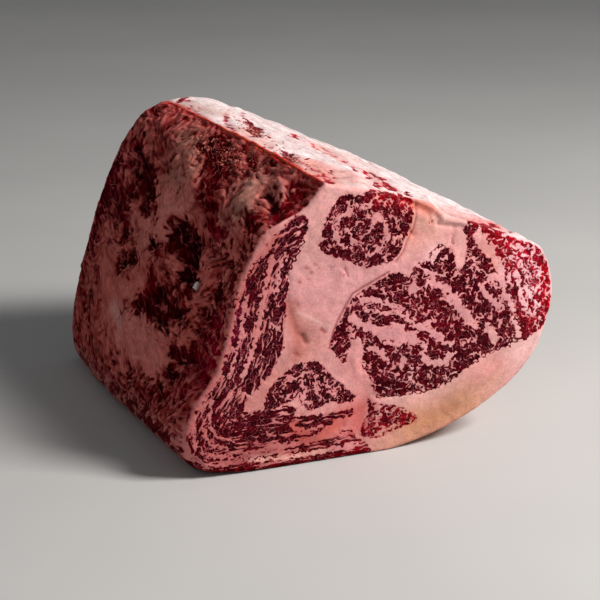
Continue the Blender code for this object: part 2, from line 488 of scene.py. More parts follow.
@dataclass(frozen=True)
class Strand:
    """A vein of fat or a clot of muscle that is laid on a chart."""

    width: float                # in mm
    weight: float               # above 0 for muscle, below 0 for fat
    places: tuple[Place, ...]
    fat_half: ClassVar[float] = 0.44        # half of a vein, as a share of its width
    muscle_half: ClassVar[float] = 0.52     # the same of a clot

    def body(self, distance: Array) -> Array:
        """Return how much of the strand there is at a distance from its line."""
        half = (self.fat_half if self.weight < 0 else self.muscle_half) * self.width
        return np.exp(-(distance / half) ** 4)


@dataclass(frozen=True)
class Wash:
    """A soft change of tone on a chart."""

    colour: Colour
    reach: float                # in mm
    strength: float             # from 0 to 1
    places: tuple[Place, ...]


@dataclass(frozen=True)
class Dent:
    """A pit or crease (below 0) or a welt (above 0) on a chart."""

    rise: float                 # in mm
    reach: float                # in mm
    places: tuple[Place, ...]


def paired(run: tuple[float, ...]) -> tuple[Place, ...]:
    """Return places from their numbers, given as x, y, x, y and so on."""
    return tuple(zip(run[::2], run[1::2]))


def vein(width: float, strength: float, *run: float) -> Strand:
    """Return a vein of fat through places given as x, y, x, y and so on."""
    return Strand(width, -strength, paired(run))


def clot(width: float, strength: float, *run: float) -> Strand:
    """Return a clot or thread of muscle through places."""
    return Strand(width, strength, paired(run))


def tint(screen: Colour, reach: float, strength: float, *run: float) -> Wash:
    """Return a wash along places, of a tone given as a screen shows it."""
    return Wash(tone(*screen), reach, strength, paired(run))


def pit(depth: float, reach: float, *run: float) -> Dent:
    """Return a pit or crease along places."""
    return Dent(-depth, reach, paired(run))


def welt(rise: float, reach: float, *run: float) -> Dent:
    """Return a welt along places."""
    return Dent(rise, reach, paired(run))


@dataclass(frozen=True)
class Muscle:
    """A muscle on a cut face: its outline, the run of its fibres and its grain."""

    name: str
    flow: Flow
    centre: Place               # what the fibres run round, or out from
    slant: float                # how far the fibres are turned from that run, in degrees
    lean_share: float           # how much of it is muscle, the rest being marbling
    bands: tuple[GrainBand, ...]
    seed: int
    outline: tuple[Place, ...]
    rim: float                  # how much denser it is along its outline

    def flecks(self, grain: Grain, x: Array, y: Array, rim: tuple[Array, Array]) -> Array:
        """Return a grain laid along the muscle's fibres.

        Args:
            grain: the grain.
            x, y: the places, in mm.
            rim: the distance from the cut rim, and the run along it, at those places.

        Returns:
            The grain's values.
        """
        if self.flow is Flow.RIM:
            return grain.at(rim[1], rim[0])
        if self.flow is Flow.SLANT:
            return grain.turned(x, y, np.full(np.shape(x), math.radians(self.slant)))
        heading = np.arctan2(y - self.centre[1], x - self.centre[0])
        if self.flow is Flow.ROUND:
            heading = heading + math.pi / 2
        return grain.turned(x, y, heading + math.radians(self.slant))


class Chart:
    """A flat map of a part of the skin, in millimetres, with its tissue laid out on it.

    Its layers are: lean (above 0 muscle, below 0 fat), rise (relief in mm), fat and muscle
    (the tones of the two tissues), and wet (how moist the surface is).
    """

    bare_fat = -1.4             # the lean value of plain fat
    curl = 0.45                 # how far the flecks of a muscle wander off its fibres, in mm
    thread = 0.25               # how thick the thinnest veins between them are
    flush = (0.97, 0.87, 0.91)  # how the fat between flecks is tinted
    coarse_flecks = 1.5         # how strongly the main flecks of a muscle show
    fine_flecks = 0.22          # the same of the finest ones
    patchiness = 0.25           # how much denser the flecks lie in some places
    wobble = 0.28               # how far a muscle's outline wavers, in mm
    clot_pull = 0.45            # how much of a clot's weight counts inside a muscle
    rim_slope = 2.2             # how fast muscle gives way to fat at its outline, for each mm

    def __init__(self, across: Place, up: Place, step: float, fat: Colour, muscle: Colour) -> None:
        """Start a chart that is all fat.

        Args:
            across, up: the lowest and highest place it covers, each way.
            step: the space between samples.
            fat, muscle: the plain tones of the two tissues.
        """
        self.low = (across[0], up[0])
        self.step = step
        self.x, self.y = np.meshgrid(np.arange(across[0], across[1] + step, step),
                                     np.arange(up[0], up[1] + step, step))
        self.lean = np.full(self.x.shape, self.bare_fat)
        self.rise = np.zeros(self.x.shape)
        self.wet = np.zeros(self.x.shape)
        self.fat = np.ones(self.x.shape + (3,)) * fat
        self.muscle = np.ones(self.x.shape + (3,)) * muscle

    def window(self, places: tuple[Place, ...], margin: float) -> tuple[slice, slice]:
        """Find the part of the chart round some places.

        Args:
            places: the places.
            margin: how far past them it reaches.

        Returns:
            The rows and the columns.
        """
        spot = np.array(places)
        low = np.floor((spot.min(0) - margin - self.low) / self.step).astype(int)
        high = np.ceil((spot.max(0) + margin - self.low) / self.step).astype(int) + 1
        low, high = np.maximum(low, 0), np.maximum(high, 1)
        return slice(low[1], high[1]), slice(low[0], high[0])

    def strand(self, strand: Strand, ragged: tuple[Array, Array]) -> None:
        """Lay a vein or a clot.

        Args:
            strand: what is laid.
            ragged: how far the chart's places are shifted, so that its edges are ragged.
        """
        part = self.window(strand.places, strand.width + 3.0)
        distance, _ = stroke_distance(self.x[part] + ragged[0][part],
                                      self.y[part] + ragged[1][part], strand.places)
        self.lean[part] += strand.weight * strand.body(distance)

    def wash(self, wash: Wash, layer: str) -> None:
        """Blend a tone into one tissue.

        Args:
            wash: the tone.
            layer: "fat" or "muscle".
        """
        part = self.window(wash.places, 2.6 * wash.reach)
        distance, _ = stroke_distance(self.x[part], self.y[part], wash.places)
        share = (wash.strength * bell(distance, wash.reach))[..., None]
        tones = getattr(self, layer)
        tones[part] = tones[part] * (1 - share) + np.array(wash.colour) * share

    def dent(self, dent: Dent) -> None:
        """Change the relief.

        Args:
            dent: the pit or crease that is pressed in, or the welt that is raised.
        """
        part = self.window(dent.places, 2.8 * dent.reach)
        distance, _ = stroke_distance(self.x[part], self.y[part], dent.places)
        self.rise[part] += dent.rise * bell(distance, dent.reach)

    def muscle_fill(self, muscle: Muscle, rim: tuple[Array, Array], strands: tuple[Strand, ...],
                    ragged: tuple[Array, Array]) -> None:
        """Fill a muscle's outline with its marbled grain.

        Args:
            muscle: the muscle.
            rim: the distance from the cut rim, and the run along it, over the chart.
            strands: the veins and clots that lie in it.
            ragged: how far the chart's places are shifted, so that their edges are ragged.
        """
        log.info("laying out the %s", muscle.name.replace("_", " "))
        part = self.window(muscle.outline, 2.0)
        x, y = self.x[part], self.y[part]
        wobble = Grain((GrainBand(3.2, 1.0, 1.0), GrainBand(1.5, 1.0, 0.5)), muscle.seed + 50)
        inside = inside_distance(x, y, muscle.outline) + self.wobble * wobble.at(x, y)
        local = (rim[0][part], rim[1][part])
        curl = Grain((GrainBand(5.5, 1.0, 1.0), GrainBand(2.6, 1.0, 0.45)), muscle.seed + 31)
        bend = (self.curl * curl.at(x, y), self.curl * curl.at(x + 61, y + 29))
        spot = (x + bend[0], y + bend[1], (local[0] + 0.5 * bend[0], local[1]))
        veins = np.abs(muscle.flecks(Grain(muscle.bands, muscle.seed), *spot))
        drawn = 0.7 * muscle.bands[0].stretch
        fine = muscle.flecks(Grain((GrainBand(1.7, drawn, 1.0),), muscle.seed + 9), *spot)
        where = Grain((GrainBand(10.0, 1.0, 1.0),), muscle.seed + 17).at(x, y)
        flecks = (self.coarse_flecks * veins + self.fine_flecks * fine
                  + self.patchiness * where)
        flecks += muscle.rim * bell(inside - 0.9, 1.1)
        flecks -= np.quantile(flecks[inside > 0], 1.0 - muscle.lean_share)
        flecks = np.minimum(flecks, 1.0)
        for strand in strands:
            distance, _ = stroke_distance(x + ragged[0][part], y + ragged[1][part],
                                          strand.places)
            pull = self.clot_pull if strand.weight > 0 else 1.0
            flecks += pull * strand.weight * strand.body(distance)
        flecks = np.minimum(flecks, 4.0 * (veins - self.thread) + 0.3 * where)
        value = np.minimum(flecks, inside * self.rim_slope + 0.2)
        self.lean[part] = np.maximum(self.lean[part], value)
        flushed = ease(inside, -0.2, 1.2)[..., None]
        self.fat[part] *= 1 - flushed * (1 - np.array(self.flush))

    def sample(self, layer: str, x: Array, y: Array) -> Array:
        """Return a layer's values at some places.

        Args:
            layer: the layer's name.
            x, y: the places.

        Returns:
            The values, between the samples.
        """
        values = getattr(self, layer)
        rows, columns = self.x.shape
        column = np.clip((x - self.low[0]) / self.step, 0, columns - 1.001)
        row = np.clip((y - self.low[1]) / self.step, 0, rows - 1.001)
        left, low = column.astype(int), row.astype(int)
        right_share, high_share = column - left, row - low
        if values.ndim == 3:
            right_share, high_share = right_share[..., None], high_share[..., None]
        return between(values, (left, left + 1), (low, low + 1), right_share, high_share)


# ----------------------------------------------------------------------------------------
# The near cut face. Places are in millimetres, from the belly corner and up from the rest.

FACE_FAT = tone(224, 158, 156)
FACE_MUSCLE = tone(74, 2, 14)
FACE_ACROSS, FACE_UP = (-6.0, 194.0), (-4.0, 142.0)      # what the face's chart covers

MUSCLES = (
    Muscle("eye_of_the_rib", Flow.ROUND, (85, 10), 0.0, 0.88,
           (GrainBand(5.0, 2.1, 1.0), GrainBand(3.0, 1.6, 0.7)), 11,
           ((73, 54), (72.5, 57), (74.5, 61), (77, 66), (80, 71), (84, 77), (89, 80), (95, 83),
            (101, 86), (106, 86.5), (109, 84.5), (111, 83.5), (113, 87), (116, 90), (120, 90.5),
            (123, 88.5), (125, 92), (128, 95), (132, 95.5), (134, 92), (134.6, 87), (137, 83),
            (139.5, 87), (140.5, 93), (140.5, 99), (138.5, 103), (141, 106.5), (147, 106.5),
            (152, 105), (158, 102), (165, 98.5), (171, 95), (178, 91), (182.5, 86),
            (185, 79), (186.5, 70), (187.5, 62), (186.5, 55), (182, 50), (175, 46.5),
            (168, 46.5), (163, 44), (155, 42), (149, 40), (142, 36), (135, 31.5), (127, 28.5),
            (118, 27.3), (108, 27.2), (100, 27), (96, 28.5), (93.5, 33), (92, 38),
            (88.5, 43), (88, 47), (89.5, 51), (88, 55.5), (86, 58.5), (83, 57), (81.5, 52.5),
            (80, 47), (77.5, 47), (75, 51)), rim=0.7),
    Muscle("cap_muscle", Flow.ROUND, (87, 109), 0.0, 0.80,
           (GrainBand(4.0, 2.0, 1.0), GrainBand(2.6, 1.7, 0.6)), 23,
           ((77, 124.5), (74, 121), (72, 118), (69.5, 113), (68, 106.5), (70.5, 105.6),
            (66.5, 103.5), (67.5, 100.5), (72, 97.5), (80, 95), (85, 92), (90, 90), (95, 91),
            (103, 92.5), (106, 96), (108, 101), (111, 106), (112.5, 112), (113, 119),
            (111, 121.5), (105, 122.5), (97, 126), (92, 126.5), (88, 124.5), (84, 124),
            (80, 125)), rim=0.5),
    Muscle("side_strap", Flow.RIM, (0, 0), 0.0, 0.88,
           (GrainBand(4.4, 8.0, 1.0), GrainBand(2.8, 4.5, 0.7)), 37,
           ((59, 117.5), (61.3, 115), (61, 110.5), (58, 106), (56, 101), (53, 96), (51, 91),
            (52.5, 87.5), (52, 84), (50.3, 79), (51, 76), (50, 71), (49.3, 66), (49.5, 58),
            (46.5, 53), (43, 47), (38, 41), (33, 37.5), (30, 40), (26, 44), (20, 49), (19.6, 55),
            (21.5, 62), (23.5, 70), (24.5, 76), (27, 81), (31, 86), (31.5, 90), (35, 94),
            (38.5, 99), (43, 103), (47, 110), (51, 114), (56, 118)), rim=0.1),
    Muscle("rib_muscle", Flow.FAN, (66, 54), 0.0, 0.88,
           (GrainBand(4.0, 2.2, 1.0), GrainBand(2.6, 1.8, 0.6)), 41,
           ((39, 28), (40, 33), (41.5, 38), (45, 42), (50, 46), (55, 48.8), (60, 49.4),
            (66, 49), (69, 46), (73, 41), (77, 37), (81, 33), (85.5, 29.5), (84, 27.2),
            (77, 27.3), (72, 29), (68, 27), (62.5, 25.5), (58, 29.5), (56, 33), (50, 31),
            (44, 29)), rim=0.6),
    Muscle("belly_layers", Flow.RIM, (0, 0), 0.0, 0.72,
           (GrainBand(3.3, 16.0, 1.0), GrainBand(2.1, 10.0, 0.6)), 53,
           ((20, 49), (26, 44), (30, 40), (32, 36.5), (30, 31), (28, 28.5), (33, 27), (38, 29),
            (46, 28.5), (51, 30), (56, 28), (54, 24), (60, 23.5), (72, 23), (84, 23.4),
            (84.5, 20.5), (76, 19.5), (72, 16.5), (66, 13.8), (60, 12.5), (62, 10),
            (72, 10.5), (78, 13.6), (84, 13), (85.5, 9), (90, 6.5), (94, 1), (84, -3),
            (55, -3.6), (24, -3.6), (6, -2), (-4, 6), (-5, 16), (-4, 28), (1, 37),
            (8, 43), (15, 50)), rim=0.0),
    Muscle("lower_rib_muscle", Flow.SLANT, (100, 16), 28.0, 0.62,
           (GrainBand(4.0, 2.6, 1.0), GrainBand(2.6, 2.0, 0.7)), 61,
           ((91, 28), (95, 24.5), (100, 23.5), (107, 21), (112, 18.6), (117.5, 15), (117, 12),
            (108, 10.6), (100, 7.6), (93, 7.4), (87.5, 10), (88.5, 14), (92, 20)),
           rim=0.0),
)

# The maze of fine fat where the layers turn the belly corner.
CORNER_MAZE = Muscle("corner_maze", Flow.SLANT, (25, 24), 20.0, 0.56,
                     (GrainBand(3.4, 1.6, 1.0), GrainBand(2.2, 1.4, 0.7)), 67,
                     ((15, 29), (18, 32), (26, 31), (33, 29), (39, 30), (38, 25), (33, 20.5),
                      (26, 18.5), (18, 19.5), (14, 23)), rim=0.1)

FACE_STRANDS = (
    # The eye: broad veins that sweep down to the right.
    vein(2.2, 3.4, 86.5, 77.5, 88, 75, 90.7, 75, 95.7, 74.3, 100, 72.1, 108, 69),
    vein(1.7, 3.2, 88.6, 70.9, 93.6, 69.4, 98.6, 67.9, 106.4, 67.1, 110, 65.4),
    clot(1.9, 3, 90.9, 73.3, 94.3, 72, 99.3, 69.6, 103, 69),
    clot(1.8, 2.4, 86.5, 67, 92, 66.6, 99, 64.4, 105, 64, 111, 61.5),
    vein(4, 4, 83.5, 67.4, 86, 64.6, 89.3, 62.6, 93.6, 60.8, 99.3, 59.2),
    vein(6, 4.2, 99.3, 58.4, 105, 56.7, 110, 55, 113, 53.2),
    vein(2.4, 3.4, 109, 65.6, 112.6, 62.2, 116.4, 59.3, 122, 57, 129, 51.4),
    vein(1.7, 3.4, 115.7, 88.4, 119.2, 85.6, 123, 83.8, 129, 82.6),
    vein(3.4, 4.2, 120.5, 80.2, 124, 79, 127.9, 77.6, 131.5, 74.6, 133.6, 71.4),
    vein(4.6, 4.4, 133.4, 71.6, 136.6, 67.2, 140, 63, 142.4, 59.6),
    vein(2.4, 3.2, 142, 59.3, 146.4, 55.7),
    vein(3.4, 3.4, 148.6, 74.3, 152.9, 69, 156.4, 65.9, 159.3, 62.9),
    vein(5.6, 4.4, 146.6, 99.5, 149, 95, 152, 91.5),
    vein(4, 4.2, 152, 91.5, 155, 87.6, 159, 81),
    vein(2.4, 3, 153.6, 80, 159.3, 76.4, 161, 73.6),
    vein(1.2, 3.2, 143.6, 85.7, 147, 84.3, 151.4, 80, 157, 73.6),
    vein(1.5, 3, 140.7, 89.3, 144.3, 88.6, 147, 86.4),
    vein(4.2, 3.6, 152.4, 54.4, 155, 51.4, 156.6, 47.8),
    vein(2.2, 3, 165.7, 57, 169.3, 51.4, 170, 47.6),
    vein(3.2, 4, 119.8, 49.6, 119.2, 44.6, 121.4, 41.4, 127.9, 40.2, 132, 39.4),
    vein(2.2, 3, 126.6, 52, 130.7, 49.3, 135, 48.6),
    vein(2.6, 3.2, 132, 42.6, 135.4, 43.4),
    vein(2.8, 3.4, 92, 51.8, 97, 49.6, 99.3, 47, 100.7, 45),
    vein(3, 3.4, 109, 45, 108.4, 40.8),
    vein(1.5, 3, 112.9, 38.6, 113.6, 34.3, 115, 31.4),
    vein(1.8, 3, 95.6, 57.6, 99.6, 54.4, 103, 52.6, 107, 52.4),
    vein(2.6, 3.4, 103.6, 61.6, 108.4, 60.2),
    vein(4.6, 5, 113.2, 77.6, 113.9, 77.4),
    vein(2.2, 4.4, 128.2, 90.8, 130.8, 89.8),
    vein(2, 3, 160, 72.4, 164, 66, 166.4, 60.6),
    vein(1.6, 2.6, 168, 75.5, 170, 68, 173, 61),
    vein(1.5, 2.6, 172.4, 71.6, 176.4, 66, 180.4, 62.6),
    # a broad, weak vein that pales the right of the eye: partly fat, partly painted highlight where
    # the light glares
    vein(24, 0.7, 166, 88, 173, 78, 175, 68),
    clot(1.7, 4.4, 159, 93, 162.6, 89, 161.6, 85, 164, 81.6),
    clot(1.8, 4.6, 168, 89.6, 171, 85, 168.6, 80.6, 171.6, 76),
    clot(1.5, 4.4, 176, 85.6, 178, 81, 174.6, 78),
    clot(1.7, 4.4, 165, 75.6, 168.4, 71.6, 166.4, 67, 169.6, 62.6),
    clot(1.9, 4.6, 174, 71.6, 177.4, 67.6, 175, 62.6, 178.6, 58),
    clot(1.5, 4.2, 181.6, 75, 182.4, 69, 180, 63.4),
    clot(1.5, 4.2, 172.6, 90.6, 175.4, 88.6),
    clot(1.6, 3.4, 168, 95, 176, 89.4, 182, 82, 184.6, 74, 186, 64, 185.6, 56),
    # The eye: dense clots.
    clot(5.4, 2.4, 122, 74.4, 126.6, 70.4, 131.4, 64.8, 137, 60.2),
    clot(5, 2.2, 114.4, 86.6, 118.6, 81.6, 119.4, 77),
    clot(3.6, 2.4, 128, 93.4, 132, 92, 132.6, 86, 133.4, 81.4),
    clot(4.2, 2, 134.6, 79, 138.2, 74.4),
    clot(5, 2, 142.4, 68, 147, 62),
    clot(4.2, 2, 148.6, 75, 154, 69.6),
    clot(3.6, 2.2, 146.6, 88.6, 151.6, 85.4),
    clot(4.4, 2.4, 140.6, 104, 143.4, 99.4, 144, 93),
    clot(5, 2.6, 152, 102.6, 157.6, 97.6, 161.6, 93.4),
    clot(4, 2.4, 156.6, 89.8, 160.4, 83.6),
    clot(3.4, 2.4, 150.4, 58.4, 149.8, 53.6, 150.4, 49.6),
    clot(6.6, 2.4, 111.6, 47.4, 115.6, 46.4, 115.4, 43),
    clot(5, 2, 103.4, 49.6, 107.4, 47.6),
    clot(5.6, 2.2, 92, 47.6, 94.6, 46.4),
    clot(4.6, 2.2, 120, 36.6, 126, 35.6, 125.4, 32.6),
    clot(3.6, 2.4, 122, 45.6, 124.6, 43.6),
    clot(4.2, 2, 95.6, 79.4, 101, 77.4, 104.6, 75),
    clot(3.8, 2.2, 95.6, 56.6, 98.2, 55.8),
    clot(5, 2.2, 77.6, 63, 79.4, 60.4, 78.4, 57),
    clot(3, 2, 84.6, 61.6, 88.4, 59, 91, 56.6),
    clot(4.4, 1.8, 100, 33.4, 106, 32.4),
    clot(3, 1.6, 97, 37.6, 95.6, 33, 99.6, 29.6),
    # The membrane round the eye.
    clot(0.7, 2.4, 121.6, 88.8, 121.8, 92.6, 124.6, 95.8, 128.4, 96.6),
    clot(0.8, 2.6, 96, 27.4, 108, 26.6, 118, 26.6, 127, 27.8, 135, 31, 142, 35.4, 149, 39.4, 155,
         41.4, 163, 43.4, 168, 46, 176, 46.4),
    clot(0.9, 2, 133.6, 96.6, 133, 100, 133.8, 103.6),
    # The cap muscle: rings of fat, and denser flesh at its outer side.
    vein(1.5, 3.2, 80.6, 117.6, 76, 114, 73.6, 110, 75.6, 104, 80, 100),
    vein(1.3, 3, 92.6, 115.6, 98.6, 110.4, 100, 104, 96.6, 98.4, 90.6, 96),
    vein(1.5, 3, 79.6, 109.6, 82, 106.6, 83.6, 102),
    vein(1.4, 2.8, 84.6, 120, 88.6, 117.4, 91.6, 119.6),
    vein(1.3, 2.8, 93, 112.4, 92.4, 108.4, 89, 106),
    clot(4.6, 1.5, 102.6, 118.4, 106.6, 112, 106.8, 104, 103.6, 97.6),
    clot(3, 1.4, 86, 111.4, 89.6, 111),
    clot(2.8, 1.6, 76.6, 120, 79, 118.6),
    # The side strap: its pale rim and seams, and the clots down its inner side.
    vein(3.8, 3.4, 43, 111, 33.5, 97.3, 27, 83.2, 23.5, 67, 18, 49.8, 8.3, 35.2),
    vein(2, 3, 8.3, 35.2, 2, 22, 4.8, 9),
    clot(2.4, 2.6, 28, 76, 27.6, 66, 23, 50, 13, 36.6, 6.6, 23, 9, 13),
    vein(2.4, 3.4, 44.4, 101, 42.4, 93, 40.4, 86.6, 39.6, 80, 38, 73, 37, 66, 35, 60, 33, 54, 30,
         47),
    vein(1.8, 3, 50.6, 101, 48, 95, 46.6, 88, 46, 84),
    vein(1.6, 2.8, 32.4, 84, 30, 76, 29.4, 69, 27.4, 61, 25.4, 54, 23, 48),
    vein(2.6, 3.2, 36, 97.6, 33, 92.6),
    vein(2, 2.6, 47.4, 66.6, 43, 69.6),
    clot(4.6, 1.8, 57, 113.4, 53.6, 109, 51, 105),
    clot(5, 1.9, 49, 85, 47.6, 79, 45.6, 73.6),
    clot(4.6, 1.8, 43.6, 66, 42.6, 60.6, 41, 55),
    clot(3, 1.4, 34.6, 49, 31.6, 43.6),
    clot(0.9, 3.4, 59.6, 106, 55.4, 98.6, 50.8, 91.2),
    clot(0.8, 2.8, 58, 108, 54.4, 101.4, 49.6, 93),
    clot(3.4, 1.4, 33, 88.6, 37.6, 86.4),
    clot(3, 1.6, 27, 75, 27.4, 68, 28.6, 62.6),
    clot(1.6, 2.2, 16.4, 62.6, 17.6, 56, 19, 50, 20.4, 45),
    clot(1.1, 2.2, 19, 57, 21.4, 64, 22.6, 70),
    clot(1, 2, 25.4, 79, 28.4, 85.4),
    clot(1.1, 2.2, 31.4, 90.6, 35.4, 96.6, 38.6, 101),
    clot(0.9, 2, 41.6, 105.4, 46, 110.6),
    clot(1, 2.2, 12.6, 44, 16.4, 50.6),
    # The belly layers: rows of flesh and the rich fat between them.
    clot(1.8, 2, 31, 20.4, 40, 19.4, 50, 18, 60, 18.2, 68, 19),
    clot(1.5, 2, 50, 21.6, 60, 20.8, 72, 21.6, 84, 22),
    clot(1.9, 2.2, 40, 15.4, 50, 14.4, 60, 14.2, 69, 15.2),
    clot(2.6, 2, 47, 15, 52, 12.8, 56, 12.6),
    clot(1.5, 2, 50, 8.4, 60, 9, 68, 8),
    clot(2.6, 2.4, 76, 12.6, 83.6, 12.6),
    clot(2.4, 2.2, 77, 7.8, 85, 7.2, 92, 5.6),
    vein(2.4, 2.8, 53, 19.6, 56, 17.6, 60, 16.4, 68, 17),
    vein(2.6, 2.8, 48, 10.4, 58, 10.8, 66, 11.8, 74, 14.6),
    vein(1.6, 2.6, 22, 11.4, 34, 9.8, 46, 11.6),
    vein(1.7, 3.4, 30, 6.6, 44, 5.2, 58, 4.5, 72, 5.2, 86, 5.6),
    clot(5, 2.6, 14, 2.6, 30, 1, 55, 0.6, 84, 1.2),
    vein(1.2, 2.6, 16, 10.4, 28, 8.6, 42, 7.8, 56, 7.6),
    vein(1.5, 2.8, 12, 40, 10.4, 32, 11, 24, 14, 17, 22, 13.6),
    vein(1.3, 2.8, 7, 33, 6, 25, 7, 18, 12, 12.6, 22, 9.4),
    vein(1.1, 2.8, 15.4, 41, 14.4, 33, 14, 26, 17, 20, 26, 16.4),
    vein(1.2, 2.6, 2.6, 28, 2.4, 20, 5, 13, 11, 7.6, 22, 5.4),
    clot(1.4, 2.6, 13.4, 42, 12.4, 33, 12.6, 25, 15.6, 18.6, 24, 14.8),
    clot(1.3, 2.6, 9.2, 37, 8.4, 29, 9, 21, 13.4, 14.8, 22.4, 11.4, 36, 8.8),
    clot(1.3, 2.6, 5, 31, 4.2, 23, 6, 15.6, 11.4, 10.2, 22, 7.4, 40, 6.4),
    clot(1.2, 2.4, 17.2, 43, 16.4, 35, 16.2, 28, 19, 22.6, 28, 18),
    clot(2.2, 1.8, 43, 25.4, 49, 24, 55, 25.4),
    clot(1.4, 1.8, 38, 24, 45, 26.6, 53, 29.4),
    clot(3.6, 1.6, 26.6, 36, 29.6, 33.4, 30.6, 30.6),
    # The rib muscle.
    vein(1.6, 3, 57.6, 40, 60, 36, 58.6, 31.6, 62, 28.6),
    vein(1.4, 2.8, 65.4, 43, 65, 37, 67.6, 31),
    vein(1.6, 2.6, 50.6, 41.4, 56, 42.6, 60.4, 44.6),
    vein(1.3, 2.6, 69, 41.6, 71.6, 35, 75.6, 30),
    clot(2.4, 1.8, 43, 37, 50, 39.4, 56, 41.4),
    clot(3, 1.6, 63.4, 40.6, 62.8, 34, 63.6, 28),
    clot(3, 1.8, 70, 38, 72.6, 32, 75.6, 28.6),
    clot(1.7, 2.6, 66.6, 48, 71.6, 43, 76.4, 38, 81.4, 33),
    clot(2, 1.8, 50.6, 46, 57, 48, 64, 48.6),
    # The lower rib muscle.
    clot(2.6, 2, 89.6, 11.6, 95, 15.6, 98, 18.6),
    clot(1.8, 1.8, 101, 12.6, 108, 14.4, 116, 13.6),
    clot(1.4, 1.8, 96, 11, 104, 17, 110, 18.6),
    # Specks of flesh in the seam fat by the top edge.
    clot(1.1, 1.6, 110.8, 104.6, 112.6, 103.4),
    clot(0.9, 1.5, 121.2, 110.8, 122.2, 108.2),
    clot(0.9, 1.2, 79.4, 90.4, 80.6, 87.4),
)

MEMBRANE = (72, 54.5, 73.6, 61, 76.2, 66.8, 79.4, 72.2, 83.2, 78.6, 88.8, 81.5, 95, 84.5, 101, 87.3)
CAP_MEMBRANE = (104, 91.6, 107.6, 95.4, 109.8, 101, 112.8, 106, 114.4, 112, 114.6, 118)

FACE_FAT_WASHES = (
    tint((232, 178, 172), 12, 0.9, 110, 23, 130, 25, 150, 36, 168, 41, 180, 47),
    tint((198, 138, 102), 7.5, 0.95, 116, 11, 128, 12.6, 142, 18.6),
    tint((214, 152, 122), 6, 0.55, 100, 3, 114, 8),
    tint((214, 160, 132), 6, 0.6, 146, 23, 156, 28),
    tint((226, 146, 142), 5, 0.6, 148, 32, 158, 36),
    tint((236, 190, 186), 5, 0.6, 172, 40, 181, 50),
    tint((214, 150, 150), 14, 0.6, 62, 86, 66, 72, 74, 90),
    # painted shade: a darker tone round the pits of the seam fat, left of the eye
    tint((204, 136, 126), 6, 0.8, 57, 55, 63, 57, 60, 64),
    # small dark spots: those on the pits of FACE_DENTS are painted shade in them, the others are
    # dark specks in the fat
    tint((124, 56, 44), 0.8, 0.9, 58.8, 61.8, 60.3, 59),
    tint((140, 66, 54), 0.7, 0.85, 54.9, 54.4, 56, 53.2),
    tint((150, 54, 50), 0.6, 0.85, 68, 64, 69.6, 62.4),
    tint((142, 40, 38), 0.6, 0.85, 60, 93.6, 61, 93),
    tint((150, 50, 46), 0.5, 0.85, 62.8, 91, 63.4, 90.6),
    tint((150, 52, 48), 0.5, 0.85, 57, 87.4, 57.4, 87.2),
    tint((158, 54, 52), 0.5, 0.8, 64.6, 94.8, 65.4, 94.4),
    tint((164, 62, 58), 0.4, 0.8, 66.8, 92.6, 67, 92.2),
    tint((160, 58, 54), 0.4, 0.8, 69.4, 66, 70.6, 65),
    tint((168, 66, 60), 0.4, 0.75, 61.4, 88.4, 61.8, 88),
    tint((154, 46, 46), 0.4, 0.8, 56.4, 77.6, 56.8, 77),
    # painted shade along the crease of FACE_DENTS
    tint((196, 106, 100), 1, 0.6, 51.6, 78, 53.4, 70, 56.6, 62),
    tint((240, 196, 190), 0.9, 0.4, 54, 74, 60, 71.4, 68, 66.4, 72, 64.4),
    # painted shade: a darker tone over the seam fat beside that crease
    tint((186, 108, 98), 2.6, 0.8, 52.5, 77, 54.5, 68, 57, 61.5, 56, 54),
    tint((204, 122, 112), 5, 0.6, 44, 44, 36, 34, 30, 33),
    tint((214, 138, 134), 6, 0.6, 84, 46, 90, 34, 90, 26),
    tint((198, 84, 78), 5, 0.75, 80, 20, 87, 22, 86, 15),
    tint((206, 92, 74), 3.4, 0.8, 53, 19, 57, 17.4),
    tint((202, 88, 74), 3.4, 0.8, 60, 12, 68, 12.4, 74, 16),
    tint((176, 90, 86), 10, 0.75, 6, 34, 9, 20, 22, 10, 40, 7, 60, 6),
    # painted highlight: a pale glint along the thin vein of fat near the bottom rim
    tint((238, 176, 164), 1.3, 0.85, 34, 6.2, 46, 5.1, 58, 4.5, 70, 5.1),
    tint((182, 92, 86), 4.4, 0.75, 14, 46, 20, 62, 24, 76, 33, 92, 46, 108),
    tint((190, 104, 98), 4, 0.5, 36, 60, 38, 78, 42, 94),
    tint((222, 160, 140), 6.5, 0.7, 116, 112, 122, 106, 112, 104),
    tint((214, 110, 88), 1.8, 0.9, 106, 122.4, 114, 117.6, 120, 114.6, 125, 112.4),
    tint((240, 186, 178), 4, 0.9, 129, 109.6, 137, 108.6, 146, 106),
    tint((226, 132, 120), 2, 0.6, 111, 105, 113, 103),
    tint((234, 176, 172), 5, 0.7, 76, 127, 86, 126.5, 92, 128),
    tint((226, 150, 138), 3, 0.8, 96, 126.6, 104, 123.6),
    tint((214, 158, 152), 6, 0.5, 62, 119, 64, 108, 62, 98),
    tint((238, 190, 190), 3.4, 0.7, 122, 90, 124.6, 93.6),
    # painted highlight: a pale wash over the right of the eye, where the light glares
    tint((248, 206, 212), 8, 0.9, 166, 90, 172, 84, 177, 76, 179, 66),
    tint((236, 172, 176), 22, 0.3, 108, 74, 124, 60, 140, 72),
    tint((132, 40, 42), 0.38, 0.85, *MEMBRANE),
    tint((164, 74, 70), 0.40, 0.8, *CAP_MEMBRANE),
    tint((232, 168, 164), 5, 0.6, 136, 88, 137, 98),
    tint((228, 150, 136), 4, 0.6, 151, 91, 155, 86),
)

